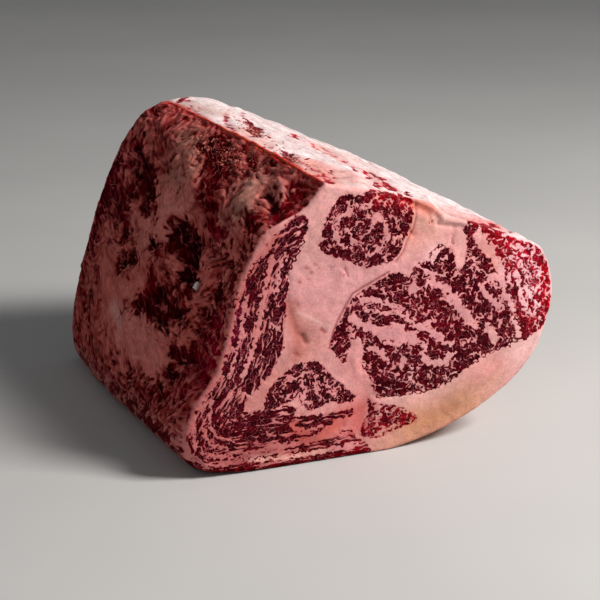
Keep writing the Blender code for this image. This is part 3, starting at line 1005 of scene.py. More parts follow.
FACE_MUSCLE_WASHES = (
    tint((156, 7, 32), 8, 0.8, 168, 94, 175, 86, 181, 78, 184, 68, 185, 58),
    tint((178, 5, 19), 2.6, 0.9, 183, 80, 185.4, 71, 186.6, 62),
    tint((158, 7, 22), 5, 0.6, 150, 103, 160, 96, 164, 86),
    tint((150, 8, 22), 5, 0.5, 172, 62, 178, 54),
    tint((112, 6, 20), 8, 0.5, 116, 66, 128, 60),
    tint((76, 4, 11), 12, 0.7, 4, 40, 10, 20, 30, 10, 60, 6),
    tint((104, 3, 10), 4, 0.8, 14, 2, 40, 0, 84, 0),
    tint((152, 8, 19), 3.6, 0.8, 96, 124, 105, 121.6, 111, 119),
    tint((84, 5, 19), 6, 0.6, 48, 118, 60, 122, 70, 127),
    tint((92, 4, 32), 4, 0.7, 25, 78, 27, 68, 28, 60),
    tint((58, 2, 14), 9, 0.6, 56, 108, 48, 88, 46, 70, 38, 50, 28, 38),
    tint((60, 2, 13), 8, 0.6, 48, 36, 60, 42, 72, 34),
    tint((142, 10, 24), 7, 0.5, 90, 8, 104, 14, 114, 15),
    tint((86, 5, 16), 5, 0.7, 97, 46, 114, 46, 124, 36),
    tint((88, 5, 16), 5, 0.6, 126, 70, 134, 62),
)

FACE_DENTS = (
    pit(1.1, 0.9, 58.6, 62, 60.4, 58.8),
    pit(0.5, 0.7, 54.8, 54.4, 56, 53),
    pit(0.4, 0.6, 68, 64, 69.6, 62.4),
    pit(0.4, 0.4, 60, 93.6, 61, 93),
    pit(0.4, 0.4, 62.8, 91, 63.4, 90.6),
    pit(0.35, 0.4, 57, 87.4, 57.4, 87.2),
    pit(0.35, 0.45, 72, 92, 72.6, 91.6),
    pit(0.5, 0.5, 79.4, 90.6, 80.8, 87),
    pit(0.5, 1.4, 51.6, 78, 53.4, 70, 56.6, 62),
    welt(0.25, 0.6, 77, 90, 80, 88, 84, 83),
    welt(0.12, 0.6, 55, 73, 60, 71, 68, 66, 72, 64),
    welt(0.18, 0.5, 66, 84, 76, 86, 82, 84),
    pit(0.6, 0.6, 121, 111.4, 122, 108),
    pit(0.8, 0.7, 134.4, 104, 133, 100, 132.6, 97),
    pit(0.5, 0.8, 111, 104.6, 113, 103.2),
    pit(0.9, 1.3, 106, 121.4, 114, 116.6, 120, 113.2, 124.6, 111),
    pit(0.8, 0.8, 125.6, 106.8, 130, 105.6, 137.6, 104.6),
    welt(0.8, 1.7, 128, 110.4, 134, 109, 143, 106.4),
    welt(0.5, 1, 127.4, 113, 127.6, 108.8),
    pit(0.18, 0.5, *MEMBRANE),
    pit(0.3, 0.5, *CAP_MEMBRANE),
    welt(0.5, 1.4, 86, 57, 84, 48, 86, 40),
    pit(0.4, 0.8, 94, 29, 96.6, 27, 104, 26.4),
    pit(0.3, 0.7, 70, 29, 60, 24, 48, 27),
    pit(0.5, 0.8, 50.8, 92, 52.8, 88, 52.2, 84, 50.6, 79),
    welt(0.3, 1.6, 20, 52, 24, 66, 27, 78),
    pit(0.3, 0.6, 82, 28, 88, 30, 92, 33),
    welt(0.25, 0.5, 66, 44, 74, 40, 80, 36),
)


@dataclass
class CutFace:
    """The pattern of a cut face: marbled muscles in seam fat, under a fat cap."""

    form: LoinForm
    end: int = -1                       # -1 for the near end, 1 for the far end
    step: float = 0.25                  # space between samples of its chart, in mm
    lean_drop: float = 0.10             # how far muscle shrinks below the fat, in mm
    thread_width: float = 1.2           # muscle finer than this shows in the seams too, in mm
    wander: float = 0.55                # how far the edges of laid shapes wander, in mm
    seam_mottle: float = 0.22           # how unevenly flesh runs out into the seams
    unevenness: float = 0.05            # height of the knife's faint waves, in mm
    chart: Chart = field(init=False)

    def build(self) -> "CutFace":
        """Lay out the whole face on its chart."""
        chart = Chart(FACE_ACROSS, FACE_UP, self.step, FACE_FAT, FACE_MUSCLE)
        self.chart = chart
        rim = self.rim_places(chart)
        mottle = Grain((GrainBand(6.0, 1.0, 1.0), GrainBand(2.4, 1.0, 0.4)), 5)
        chart.lean += self.seam_mottle * mottle.at(chart.x, chart.y)
        ragged = self.ragged(chart)
        strands = self.laid(FACE_STRANDS)
        for muscle in MUSCLES + (CORNER_MAZE,):
            chart.muscle_fill(self.placed(muscle), rim, strands, ragged)
        for strand in strands:
            if strand.weight > 0 and strand.width < self.thread_width:
                chart.strand(strand, ragged)
        for wash in self.laid(FACE_FAT_WASHES):
            chart.wash(wash, "fat")
        for wash in self.laid(FACE_MUSCLE_WASHES):
            chart.wash(wash, "muscle")
        for dent in self.laid(FACE_DENTS):
            chart.dent(dent)
        chart.rise -= self.lean_drop * ease(chart.lean, -0.5, 0.7)
        waves = Grain((GrainBand(7.0, 1.0, 1.0), GrainBand(3.0, 1.0, 0.6)), 6)
        chart.rise += self.unevenness * waves.at(chart.x, chart.y)
        chart.wet = 0.35 + 0.4 * ease(chart.lean, -0.2, 0.5)
        return self

    def rim_places(self, chart: Chart) -> tuple[Array, Array]:
        """Measure the chart against the cut rim.

        Args:
            chart: the face's chart.

        Returns:
            The distance in from the rim, and the run along it.
        """
        turn = np.arange(0.0, len(OUTLINE), 0.25)
        share = np.full_like(turn, (1 + self.end) / 2)
        line = self.form.outline(turn, share) / MM
        coarse = Chart(FACE_ACROSS, FACE_UP, 1.0, FACE_FAT, FACE_MUSCLE)
        loop = tuple(map(tuple, line)) + (tuple(line[0]),)
        coarse.rise, coarse.wet = stroke_distance(coarse.x, coarse.y, loop)
        return (coarse.sample("rise", chart.x, chart.y), coarse.sample("wet", chart.x, chart.y))

    def ragged(self, chart: Chart) -> tuple[Array, Array]:
        """Make the edges of laid shapes ragged.

        Args:
            chart: the face's chart.

        Returns:
            How far its places are shifted, each way.
        """
        bands = (GrainBand(4.0, 1.0, 1.0), GrainBand(2.0, 1.0, 0.5))
        return (self.wander * Grain(bands, 71 + self.end).at(chart.x, chart.y),
                self.wander * Grain(bands, 81 + self.end).at(chart.x, chart.y))

    def laid(self, shapes: tuple) -> tuple:
        """Return strands, washes or dents of the near face, moved to this one."""
        return tuple(replace(shape, places=self.moved(shape.places)) for shape in shapes)

    def moved(self, places: tuple[Place, ...]) -> tuple[Place, ...]:
        """Move places of the near face to this one.

        Args:
            places: the places.

        Returns:
            The places here.
        """
        if self.end < 0:
            return places
        return tuple((x - 4.0 * z / 131 + 1.5 * math.sin(z / 23),
                      z * 1.035 + 1.2 * math.sin(x / 31)) for x, z in places)

    def placed(self, muscle: Muscle) -> Muscle:
        """Move a muscle of the near face to this one.

        Args:
            muscle: the muscle.

        Returns:
            The muscle here, with a grain of its own.
        """
        if self.end < 0:
            return muscle
        return replace(muscle, centre=self.moved((muscle.centre,))[0], seed=muscle.seed + 200,
                       outline=self.moved(muscle.outline))


# ----------------------------------------------------------------------------------------
# The sides. Places are in millimetres along the loin from the near end, and down from the
# side's first edge: the ridge for the chine side and the back, the nose for the fat cap and
# the belly corner for the rest side.

SIDE_FAT = tone(224, 134, 124)
SIDE_MUSCLE = tone(82, 6, 9)
AGED_FAT = (188, 152, 134)          # as a screen shows it, like the tones of the washes
# near-black muscle tone: painted shade, laid into the pits and deep hollows of the chine side
PAINTED_HOLLOW_SHADE = (18, 1, 2)
SIDE_GRAIN_WIDTH = 204.8            # past the side's length, so that its grain never repeats
BLOOD_STAIN = (0.58, 0.86, 0.86)    # how much of each colour blood takes from the fat

CHINE_STRANDS = (
    # Fat.
    vein(8, 2.2, 186, 24, 176, 22, 166, 26, 158, 32),
    vein(7, 1.8, 186, 12, 178, 16),
    vein(9, 1.6, 182, 40, 170, 48),
    vein(6, 1.8, 164, 4, 150, 9, 138, 14, 128, 20),
    vein(10, 2.6, 130, 22, 120, 24, 108, 26, 98, 29, 90, 36, 83, 44),
    vein(5, 2.2, 122, 39, 108, 37, 94, 40),
    vein(15, 3, 128, 44, 118, 50, 106, 52, 94, 50, 82, 49),
    vein(14, 3, 110, 54, 102, 62, 94, 66),
    vein(13, 3, 124, 68, 118, 76, 108, 84),
    vein(9, 2.4, 104, 68, 94, 70, 86, 74),
    vein(10, 1.8, 148, 64, 138, 68, 130, 76),
    vein(22, 2.8, 166, 88, 152, 94, 142, 108, 134, 118),
    vein(22, 3, 124, 104, 112, 100, 104, 98),
    vein(26, 3.4, 102, 124, 86, 124, 68, 122, 58, 124),
    vein(14, 2.6, 128, 118, 112, 118, 104, 120),
    vein(12, 2.2, 150, 128, 134, 134, 118, 138),
    vein(7, 2, 188, 132, 170, 136, 154, 140),
    vein(6, 1.8, 188, 102, 174, 108, 160, 112),
    vein(15, 2.8, 44, 66, 34, 68, 28, 70),
    vein(6, 2.2, 40, 46, 30, 44, 18, 46, 6, 52),
    vein(5, 2, 30, 56, 20, 54, 8, 58),
    vein(13, 3, 44, 18, 38, 26, 32, 34),
    vein(8, 3.2, 30, 12, 24, 15, 18, 18),
    vein(8, 2.4, 72, 50, 60, 52, 50, 56),
    vein(9, 2.6, 36, 86, 32, 96, 30, 108),
    vein(4, 2.4, 66, 91, 54, 92, 42, 94),
    vein(6, 2, 46, 106, 40, 110),
    vein(7, 2.2, 72, 74, 64, 78, 60, 84),
    vein(2, 3.4, 26, 92, 14, 84, 4, 76),
    vein(1.4, 3.6, 22, 106, 12, 97, 3, 90),
    vein(1.2, 3.4, 12, 97, 10, 106, 3, 112),
    vein(5, 2.4, 50, 116, 47, 124),
    vein(3, 2.2, 44, 120, 30, 121, 18, 124, 4, 128),
    vein(3, 2, 40, 132, 26, 133, 10, 137),
    vein(4, 2, 24, 138, 10, 142),
    vein(4, 2.2, 4, 104, 8, 98),
    vein(3, 2.6, 0, 34, 1, 60, 0, 96, 1, 122),
    vein(1.8, 2.4, 12, 98, 9, 112, 8, 126, 12, 140),
    vein(1.6, 2.4, 20, 106, 17, 118, 18, 132, 26, 144),
    vein(1.6, 2.2, 5, 120, 4, 132, 8, 144),
    # Muscle.
    clot(9, 2.4, 190, 8, 178, 13),
    clot(8, 2.4, 172, 43, 158, 41, 142, 44, 134, 48),
    clot(8, 2.2, 158, 55, 140, 52, 128, 56),
    clot(6, 2, 190, 56, 170, 60, 152, 58),
    clot(6, 2, 190, 68, 172, 66, 154, 68),
    clot(5, 1.8, 190, 78, 174, 75, 158, 76),
    clot(5, 2.2, 128, 51, 118, 52, 112, 54),
    clot(5, 2.2, 142, 63, 126, 62, 114, 60),
    clot(3, 2, 146, 73, 138, 76, 130, 80),
    clot(7, 3.6, 111, 75, 104, 76, 96, 74, 86, 73),
    clot(6, 3.2, 128, 86, 118, 87, 114, 85),
    clot(8, 3.6, 132, 94, 127, 93, 123, 90),
    clot(4, 2.4, 120, 96, 112, 97),
    clot(9, 4.4, 88, 58, 76, 57, 64, 59, 54, 60),
    clot(12, 3.8, 84, 65, 70, 66, 58, 66, 50, 68),
    clot(6, 3.4, 58, 72, 50, 76, 44, 80),
    clot(8, 4.2, 57, 80, 48, 80),
    clot(10, 4, 86, 97, 70, 96, 54, 97, 42, 98),
    clot(9, 3.6, 100, 107, 88, 104, 74, 106, 60, 108),
    clot(4, 2.6, 114, 113, 100, 112),
    clot(14, 3, 108, 12, 96, 16, 84, 20, 74, 24),
    clot(4, 3.6, 4.5, 52, 5, 66, 4, 78, 5, 90),
    clot(12, 3.8, 17, 84, 12, 96, 13, 110),
    clot(8, 3.4, 26, 70, 18, 78),
    clot(10, 2.8, 187, 44, 184, 70, 186, 100),
    clot(7, 2.8, 176, 30, 164, 36),
    clot(8, 3, 156, 66, 146, 74, 140, 84),
    clot(6, 3, 66, 88, 58, 90, 50, 88),
    clot(5, 3.6, 6, 92, 5, 106, 7, 122),
    clot(12, 2.2, 80, 30, 68, 36, 58, 42, 50, 48),
    clot(8, 1.8, 70, 14, 58, 12, 48, 10),
    clot(6, 3.8, 27, 19, 16, 24, 6, 28, 0, 32),
    clot(10, 2.4, 14, 10, 8, 18, 2, 24),
    clot(5, 2.2, 34, 38, 22, 36, 8, 40),
    clot(7, 2, 48, 50, 38, 52, 28, 50),
    clot(7, 2.6, 14, 50, 4, 50),
    clot(5, 2.4, 40, 60, 20, 62, 4, 64),
    clot(9, 2.8, 30, 96, 26, 104, 22, 112),
    clot(9, 3.2, 22, 108, 12, 114, 2, 118),
    clot(6, 2.4, 22, 80, 12, 78, 2, 82),
    clot(7, 2.4, 46, 116, 30, 114, 20, 118),
    clot(7, 2.4, 44, 127, 28, 127, 10, 131),
    clot(8, 2.2, 46, 138, 30, 138, 14, 140),
    clot(7, 2.2, 78, 142, 62, 144, 44, 146),
    clot(5, 1.8, 190, 90, 172, 92, 156, 86),
    clot(5, 1.8, 170, 128, 152, 130, 140, 127),
    clot(8, 1.8, 92, 86, 86, 92, 80, 98),
)

CHINE_FAT_WASHES = (
    tint(AGED_FAT, 9, 0.8, 46, 20, 40, 28, 34, 34),
    tint(AGED_FAT, 6, 0.6, 132, 14, 118, 18),
    tint((214, 156, 136), 7, 0.7, 126, 22, 112, 26, 98, 30),
    tint((196, 158, 140), 4, 0.6, 122, 38, 106, 38),
    tint((224, 156, 144), 7, 0.7, 30, 11, 20, 17),
    tint((238, 164, 150), 14, 0.7, 102, 54, 116, 72),
    tint((216, 122, 106), 16, 0.6, 122, 102, 108, 98),
    tint((238, 158, 146), 16, 0.7, 96, 124, 66, 122),
    tint((232, 176, 166), 3, 0.9, 124, 116, 114, 118, 105, 122),
    tint((190, 102, 88), 8, 0.6, 34, 90, 30, 106),
    tint((196, 44, 34), 1.5, 0.9, 190, 0, 120, 0, 60, 0, 6, 0),
    tint((188, 110, 98), 18, 0.6, 176, 110, 160, 130),
    tint((214, 120, 108), 6, 0.6, 20, 46, 8, 54),
    tint((244, 238, 232), 1.6, 0.95, 43.4, 80, 41, 80.4),
)

CHINE_MUSCLE_WASHES = (
    # The near-black washes below paint shade into the pits and deep hollows of the chine side.
    tint(PAINTED_HOLLOW_SHADE, 5, 0.95, 84, 59, 72, 60, 58, 62, 52, 70),
    tint(PAINTED_HOLLOW_SHADE, 4, 0.95, 57, 80, 47, 80),
    tint(PAINTED_HOLLOW_SHADE, 3.4, 0.9, 110, 75, 102, 76),
    tint(PAINTED_HOLLOW_SHADE, 4, 0.8, 131, 94, 126, 91, 120, 87),
    tint(PAINTED_HOLLOW_SHADE, 3, 0.9, 27, 19, 14, 25, 4, 29),
    tint(PAINTED_HOLLOW_SHADE, 4, 0.75, 84, 97, 66, 96, 48, 98),
    tint(PAINTED_HOLLOW_SHADE, 3, 0.6, 96, 106, 78, 105, 64, 107),
    tint(PAINTED_HOLLOW_SHADE, 3, 0.7, 36, 127, 20, 127),
    tint(PAINTED_HOLLOW_SHADE, 7, 0.75, 16, 84, 12, 96, 14, 108),
    tint(PAINTED_HOLLOW_SHADE, 6, 0.75, 106, 12, 92, 16, 78, 20),
    tint(PAINTED_HOLLOW_SHADE, 5, 0.7, 166, 42, 148, 44, 132, 52),
    tint(PAINTED_HOLLOW_SHADE, 8, 0.5, 190, 12, 178, 12),
    tint(PAINTED_HOLLOW_SHADE, 6, 0.6, 40, 60, 14, 62),
    tint((122, 7, 19), 8, 0.7, 12, 12, 2, 22),
    tint((108, 6, 16), 12, 0.6, 84, 32, 66, 40),
    tint((112, 8, 29), 4, 0.7, 46, 52, 34, 52),
    tint((122, 5, 19), 6, 0.6, 96, 94, 86, 92),
    tint((134, 7, 14), 2.6, 0.9, 190, 0, 0, 0),
    tint((140, 4, 34), 7, 0.8, 12, 124, 6, 108, 8, 96),
    tint((96, 8, 34), 12, 0.6, 180, 52, 164, 76, 176, 96),
    tint((58, 3, 9), 14, 0.5, 184, 66, 160, 66),
)

CHINE_DENTS = (
    pit(3, 4.6, 84, 58, 72, 60, 58, 62, 52, 70),
    pit(2.6, 3, 56, 80, 48, 80),
    pit(1.8, 2.6, 110, 75, 102, 76),
    pit(1.8, 3, 131, 94, 124, 90, 118, 87),
    pit(2, 2.4, 27, 19, 16, 24, 4, 30),
    pit(1.2, 3.6, 166, 42, 148, 44, 132, 52),
    welt(1.6, 6, 112, 50, 104, 58, 96, 62),
    welt(1.2, 7, 100, 122, 80, 124, 62, 122),
    welt(1.4, 3.6, 30, 12, 22, 16),
    welt(1, 4, 44, 20, 36, 30),
    welt(1.2, 4, 42, 66, 32, 69),
    welt(1.2, 3.4, 36, 88, 31, 104),
    welt(0.9, 4, 122, 25, 104, 28, 88, 38),
    welt(1, 5, 160, 90, 142, 108, 122, 102),
    pit(0.9, 2.4, 34, 37, 8, 40),
    pit(1, 2.6, 40, 60, 12, 62),
    pit(1, 2.6, 20, 110, 6, 116),
    welt(0.8, 1.6, 24, 94, 14, 84, 4, 74),
    pit(0.8, 2, 84, 98, 60, 98, 40, 100),
    welt(0.6, 1.2, 43, 80, 41.4, 80.2),
)

BACK_STRANDS = (
    clot(9, 2.6, 40, 4, 52, 8, 66, 14),
    clot(3, 2.2, 14, 15, 24, 18, 36, 23),
    clot(3.4, 2.4, 8, 35, 20, 41, 32, 47),
    clot(4.6, 4.4, 3, 41, 18, 47, 32, 54, 48, 62, 62, 69, 78, 73),
    clot(3.4, 3, 78, 73, 92, 75),
    clot(3.2, 4.2, 34, 44, 50, 52, 62, 59, 76, 65),
    clot(4, 2.6, 66, 52, 76, 57, 86, 61),
    clot(2.8, 3.8, 5, 49, 16, 56, 30, 64, 45, 74),
    clot(3, 1.9, 93, 61, 106, 67),
    clot(3.4, 1.9, 98, 54, 116, 58, 130, 60, 142, 64),
    clot(3, 1.6, 106, 62, 122, 67, 138, 69),
    clot(4, 3, 136, 51, 148, 57, 164, 66),
    clot(8, 2.6, 100, 12, 114, 18, 130, 25, 144, 28),
    clot(4, 1.8, 124, 8, 138, 12, 150, 17),
    clot(3, 1.8, 148, 26, 164, 32, 178, 40),
    clot(2, 1.7, 86, 26, 96, 31),
    clot(5.4, 2.6, 0, 87, 8, 98, 20, 110, 32, 121),
    clot(3.8, 2.8, 0, 95, 10, 106, 22, 118),
    clot(3, 2, 2, 108, 14, 119, 24, 128),
    clot(2.6, 1.9, 14, 96, 28, 108, 42, 122),
    clot(2.2, 1.7, 120, 98, 140, 106, 160, 112, 180, 122),
    clot(6, 2, 180, 4, 190, 10),
    clot(4, 1.7, 150, 2, 168, 4),
    clot(3, 1.6, 104, 2, 118, 6),
    clot(6, 1.7, 2, 4, 16, 7, 30, 9),
)

BACK_FAT_WASHES = (
    tint((226, 134, 116), 9, 0.75, 4, 4, 26, 10, 46, 18),
    tint((232, 160, 150), 9, 0.6, 16, 24, 40, 32),
    tint((232, 156, 150), 6, 0.7, 20, 46, 56, 62, 90, 72),
    tint((228, 148, 140), 7, 0.6, 102, 60, 136, 66),
    tint((226, 140, 136), 9, 0.8, 2, 90, 20, 108, 34, 122),
    tint((222, 186, 172), 8, 0.6, 170, 4, 150, 12),
    tint((216, 146, 130), 8, 0.6, 80, 4, 110, 10),
    tint((224, 150, 142), 5, 0.5, 0, 72, 14, 80, 30, 94),
    tint((238, 206, 198), 10, 0.6, 124, 80, 150, 90),
    tint((206, 64, 48), 1.4, 0.85, 190, 0, 130, 0, 70, 0, 0, 0),
)

BACK_MUSCLE_WASHES = (
    tint((86, 14, 36), 7, 0.9, 42, 6, 64, 13),
    tint((96, 22, 26), 9, 0.7, 104, 14, 140, 27),
    tint((190, 34, 50), 5, 0.8, 34, 44, 76, 65),
    tint((176, 26, 44), 5, 0.8, 3, 41, 32, 54, 62, 69),
    tint((196, 30, 46), 5, 0.8, 138, 52, 162, 65),
    tint((180, 24, 40), 6, 0.7, 10, 108, 28, 120),
    tint((204, 84, 78), 8, 0.7, 108, 60, 136, 66),
)

BACK_DENTS = (
    pit(0.7, 3, 3, 41, 32, 54, 62, 69, 92, 75),
    pit(0.5, 2, 38, 46, 72, 63),
    pit(0.5, 1.6, 5, 49, 45, 74),
    welt(0.6, 2.6, 0, 62, 20, 74, 46, 86),
    pit(0.8, 2.6, 40, 5, 66, 14),
    pit(0.6, 2.6, 102, 13, 142, 27),
    welt(0.5, 2.2, 20, 30, 60, 44, 100, 52),
    pit(0.6, 2.4, 0, 92, 30, 120),
    pit(0.4, 1.4, 136, 51, 164, 66),
    welt(0.6, 1.2, 0, 58, 30, 60, 60, 61),
)

CAP_STRANDS = (
    clot(3, 2.4, 0, 4, 4, 12, 2, 22),
    clot(2.2, 1.8, 0, 0, 16, 4, 30, 6),
    clot(2.4, 1.7, 60, 2, 84, 5, 110, 4),
    clot(2, 1.6, 120, 10, 150, 14, 176, 12),
    clot(2, 1.6, 26, 34, 60, 40, 84, 39),
    clot(2.2, 1.5, 100, 62, 130, 66, 158, 62),
)

CAP_FAT_WASHES = (
    tint((206, 148, 112), 9, 0.8, 2, 84, 16, 90, 30, 96),
    tint((214, 160, 126), 12, 0.6, 30, 84, 70, 92, 120, 94),
    tint((228, 158, 150), 10, 0.6, 0, 52, 20, 58),
    tint((222, 170, 142), 12, 0.4, 90, 50, 150, 60),
    tint((240, 204, 196), 14, 0.6, 40, 20, 100, 24, 160, 20),
    tint((226, 120, 118), 4, 0.8, 0, 8, 3, 20),
)

REST_STRANDS = (
    vein(9, 2.4, 20, 18, 60, 24, 100, 20),
    vein(12, 2.4, 100, 60, 140, 64, 176, 58),
    vein(9, 2.2, 20, 66, 54, 70, 80, 64),
    vein(7, 2.2, 120, 28, 150, 34, 184, 30),
    vein(9, 2.4, 6, 92, 70, 94, 130, 92, 184, 94),
    clot(8, 2.2, 10, 40, 50, 44, 88, 40, 110, 42),
    clot(7, 2.2, 120, 46, 160, 48, 186, 44),
    clot(6, 2, 4, 6, 40, 8, 80, 6),
    clot(6, 2, 90, 80, 130, 78, 170, 80),
    clot(5, 2, 0, 30, 24, 32),
    clot(5, 2, 0, 56, 28, 56),
)


@dataclass(frozen=True)
class SidePattern:
    """What is laid out on the chart of one side."""

    side: Side
    rows: tuple[int, int]               # rows of the outline where it starts and ends
    depth: float                        # what its chart measures from edge to edge, in mm
    fat: Colour
    muscle: Colour
    lean: float                         # how much of the plain ground is muscle; -1 is none
    lean_swing: float                   # how strongly the fibres part muscle from fat
    bands: tuple[GrainBand, ...]
    seed: int
    strands: tuple[Strand, ...]
    fat_washes: tuple[Wash, ...]
    muscle_washes: tuple[Wash, ...]
    dents: tuple[Dent, ...]
    ragged: float                       # how far the edges of laid shapes wander, in mm
    swell: float                        # height of the broad unevenness, in mm
    drop: float                         # how far muscle lies below fat, in mm
    wet: float                          # how moist the muscle is, from 0 to 1
    stain: float = 0.0                  # how unevenly blood has stained it
    feather: float = 0.0                # how far fibres draw out the edges of shapes, in mm
    sway: float = 0.0                   # how far the fibres wander, in radians

    def heading(self, along: Array, down: Array) -> Array:
        """Return the run of the fibres.

        Args:
            along, down: the places on the chart, in mm.

        Returns:
            The heading at each place, in radians.
        """
        if self.side is not Side.CHINE:
            return np.radians(30.0 - 22.0 * ease(along, 60.0, 150.0))
        low = ease(down, 44.0, 66.0)
        near = (1.0 - ease(along, 20.0, 44.0)) * low
        turn = 62.0 + 22.0 * ease(down, 96.0, 126.0)
        return np.radians(-30.0 + 18.0 * low + turn * near)

    def chart(self, step: float = 0.4) -> Chart:
        """Lay the side out on its chart.

        Args:
            step: the space between samples, in mm.

        Returns:
            The chart.
        """
        chart = Chart((-4.0, 194.0), (-6.0, self.depth + 6.0), step, self.fat, self.muscle)
        x, y = chart.x, chart.y
        coarse = Grain((GrainBand(11.0, 1.3, 1.0), GrainBand(5.0, 1.2, 0.6),
                        GrainBand(2.4, 1.0, 0.3)), self.seed + 1, width=SIDE_GRAIN_WIDTH)
        wander = Grain((GrainBand(34.0, 1.0, 1.0),), self.seed + 5, width=SIDE_GRAIN_WIDTH)
        heading = self.heading(x, y) + self.sway * wander.at(x, y)
        comb = Grain((GrainBand(3.4, 3.5, 1.0), GrainBand(1.8, 4.0, 0.4)), self.seed + 6)
        comb = self.feather * comb.turned(x, y, heading)
        ragged = (self.ragged * coarse.at(x, y) + np.cos(heading) * comb,
                  self.ragged * coarse.at(x + 71, y + 43) + np.sin(heading) * comb)
        fibres = Grain(self.bands, self.seed, width=SIDE_GRAIN_WIDTH).turned(x, y, heading)
        chart.lean = self.lean + self.lean_swing * fibres
        for strand in self.strands:
            chart.strand(strand, ragged)
        fine = Grain((GrainBand(2.6, 3.5, 1.0), GrainBand(1.5, 2.5, 0.7)), self.seed + 2)
        fine = fine.turned(x, y, heading)
        chart.lean = np.clip(chart.lean, -2.2, 2.2) + 0.55 * fine * self.lean_swing
        blood = Grain((GrainBand(16.0, 2.5, 0.9), GrainBand(6.0, 3.5, 0.9),
                       GrainBand(2.8, 6.0, 0.7), GrainBand(1.6, 7.0, 0.25)), self.seed + 4,
                      width=SIDE_GRAIN_WIDTH)
        blood = blood.turned(x, y, heading)[..., None]
        chart.fat *= 1 - self.stain * ease(blood, -0.7, 1.5) * np.array(BLOOD_STAIN)
        chart.muscle *= np.exp(0.42 * self.stain * blood)
        for wash in self.fat_washes:
            chart.wash(wash, "fat")
        for wash in self.muscle_washes:
            chart.wash(wash, "muscle")
        for dent in self.dents:
            chart.dent(dent)
        lumps = Grain((GrainBand(19.0, 1.6, 1.0), GrainBand(9.0, 1.8, 0.35),
                       GrainBand(4.5, 2.0, 0.10)), self.seed + 3, width=SIDE_GRAIN_WIDTH)
        chart.rise += self.swell * lumps.turned(x, y, heading)
        chart.rise -= self.drop * ease(chart.lean, -0.8, 0.9)
        chart.rise += 0.10 * self.drop * fine
        chart.wet = self.wet * (0.4 + 0.6 * ease(chart.lean, -0.3, 0.6))
        return chart


CHINE_BANDS = (GrainBand(9.0, 3.0, 1.0), GrainBand(4.6, 3.6, 0.9), GrainBand(2.4, 4.5, 0.45))
LONG_BANDS = (GrainBand(8.0, 4.5, 1.0), GrainBand(4.0, 4.5, 0.7), GrainBand(2.2, 4.0, 0.5))

SIDES = (
    SidePattern(Side.CHINE, (RIDGE, BELLY_CORNER), 150.0, SIDE_FAT, SIDE_MUSCLE, 0.1, 0.85,
                CHINE_BANDS, 101, CHINE_STRANDS, CHINE_FAT_WASHES, CHINE_MUSCLE_WASHES,
                CHINE_DENTS, 1.6, 0.30, 0.60, 0.8, 0.9, 3.0, 0.5),
    SidePattern(Side.BACK, (RIDGE, NOSE_CORNER), 130.0, tone(252, 242, 241),
                tone(150, 34, 44), -1.25, 0.42, LONG_BANDS, 131, BACK_STRANDS,
                BACK_FAT_WASHES, BACK_MUSCLE_WASHES, BACK_DENTS, 0.9, 0.30, 0.5, 0.6, 0.2,
                1.2, 0.15),
    SidePattern(Side.CAP, (NOSE_CORNER, NOSE_REST), 100.0, tone(236, 194, 184),
                tone(168, 54, 58), -1.6, 0.42, LONG_BANDS, 151, CAP_STRANDS,
                CAP_FAT_WASHES, (), (), 1.0, 0.35, 0.4, 0.5),
    SidePattern(Side.REST, (BELLY_CORNER, len(OUTLINE) + NOSE_REST), 100.0,
                tone(206, 136, 126), tone(96, 18, 24), -0.1, 0.8, LONG_BANDS, 171,
                REST_STRANDS, (), (), (), 1.6, 0.25, 0.6, 0.7),
)


# ----------------------------------------------------------------------------------------
# The skin: one closed mesh, cut into its pieces.


def blank_mesh(name: str, places: Array, corners: Array, sizes: Array) -> bpy.types.Mesh:
    """Make a mesh.

    Args:
        name: its name.
        places: its vertices, in metres.
        corners: the vertices of its faces, one face after another.
        sizes: how many corners each face has.

    Returns:
        The mesh, shaded smooth.
    """
    mesh = bpy.data.meshes.new(name)
    mesh.vertices.add(len(places))
    mesh.vertices.foreach_set("co", np.ascontiguousarray(places, np.float32).ravel())
    mesh.loops.add(len(corners))
    mesh.loops.foreach_set("vertex_index", corners.astype(np.int32))
    mesh.polygons.add(len(sizes))
    starts = np.concatenate(([0], np.cumsum(sizes)[:-1])).astype(np.int32)
    mesh.polygons.foreach_set("loop_start", starts)
    mesh.polygons.foreach_set("loop_total", sizes.astype(np.int32))
    mesh.update(calc_edges=True)
    mesh.shade_smooth()
    return mesh


def new_object(mesh: bpy.types.Mesh, name: str) -> bpy.types.Object:
    """Put a mesh into the scene.

    Args:
        mesh: the mesh.
        name: its name.

    Returns:
        The object, at the origin.
    """
    item = bpy.data.objects.new(name, mesh)
    bpy.context.scene.collection.objects.link(item)
    return item


def vertex_normals(places: Array, triangles: Array) -> Array:
    """Work out which way a mesh's vertices face.

    Args:
        places: the vertices.
        triangles: the corners of its faces.

    Returns:
        The unit normals, weighted by face area.
    """
    a, b, c = (places[triangles[:, k]] for k in range(3))
    facing = np.cross(b - a, c - a)
    total = np.zeros_like(places)
    for corner in range(3):
        for axis in range(3):
            total[:, axis] += np.bincount(triangles[:, corner], facing[:, axis], len(places))
    return total / np.maximum(np.linalg.norm(total, axis=1, keepdims=True), 1e-20)


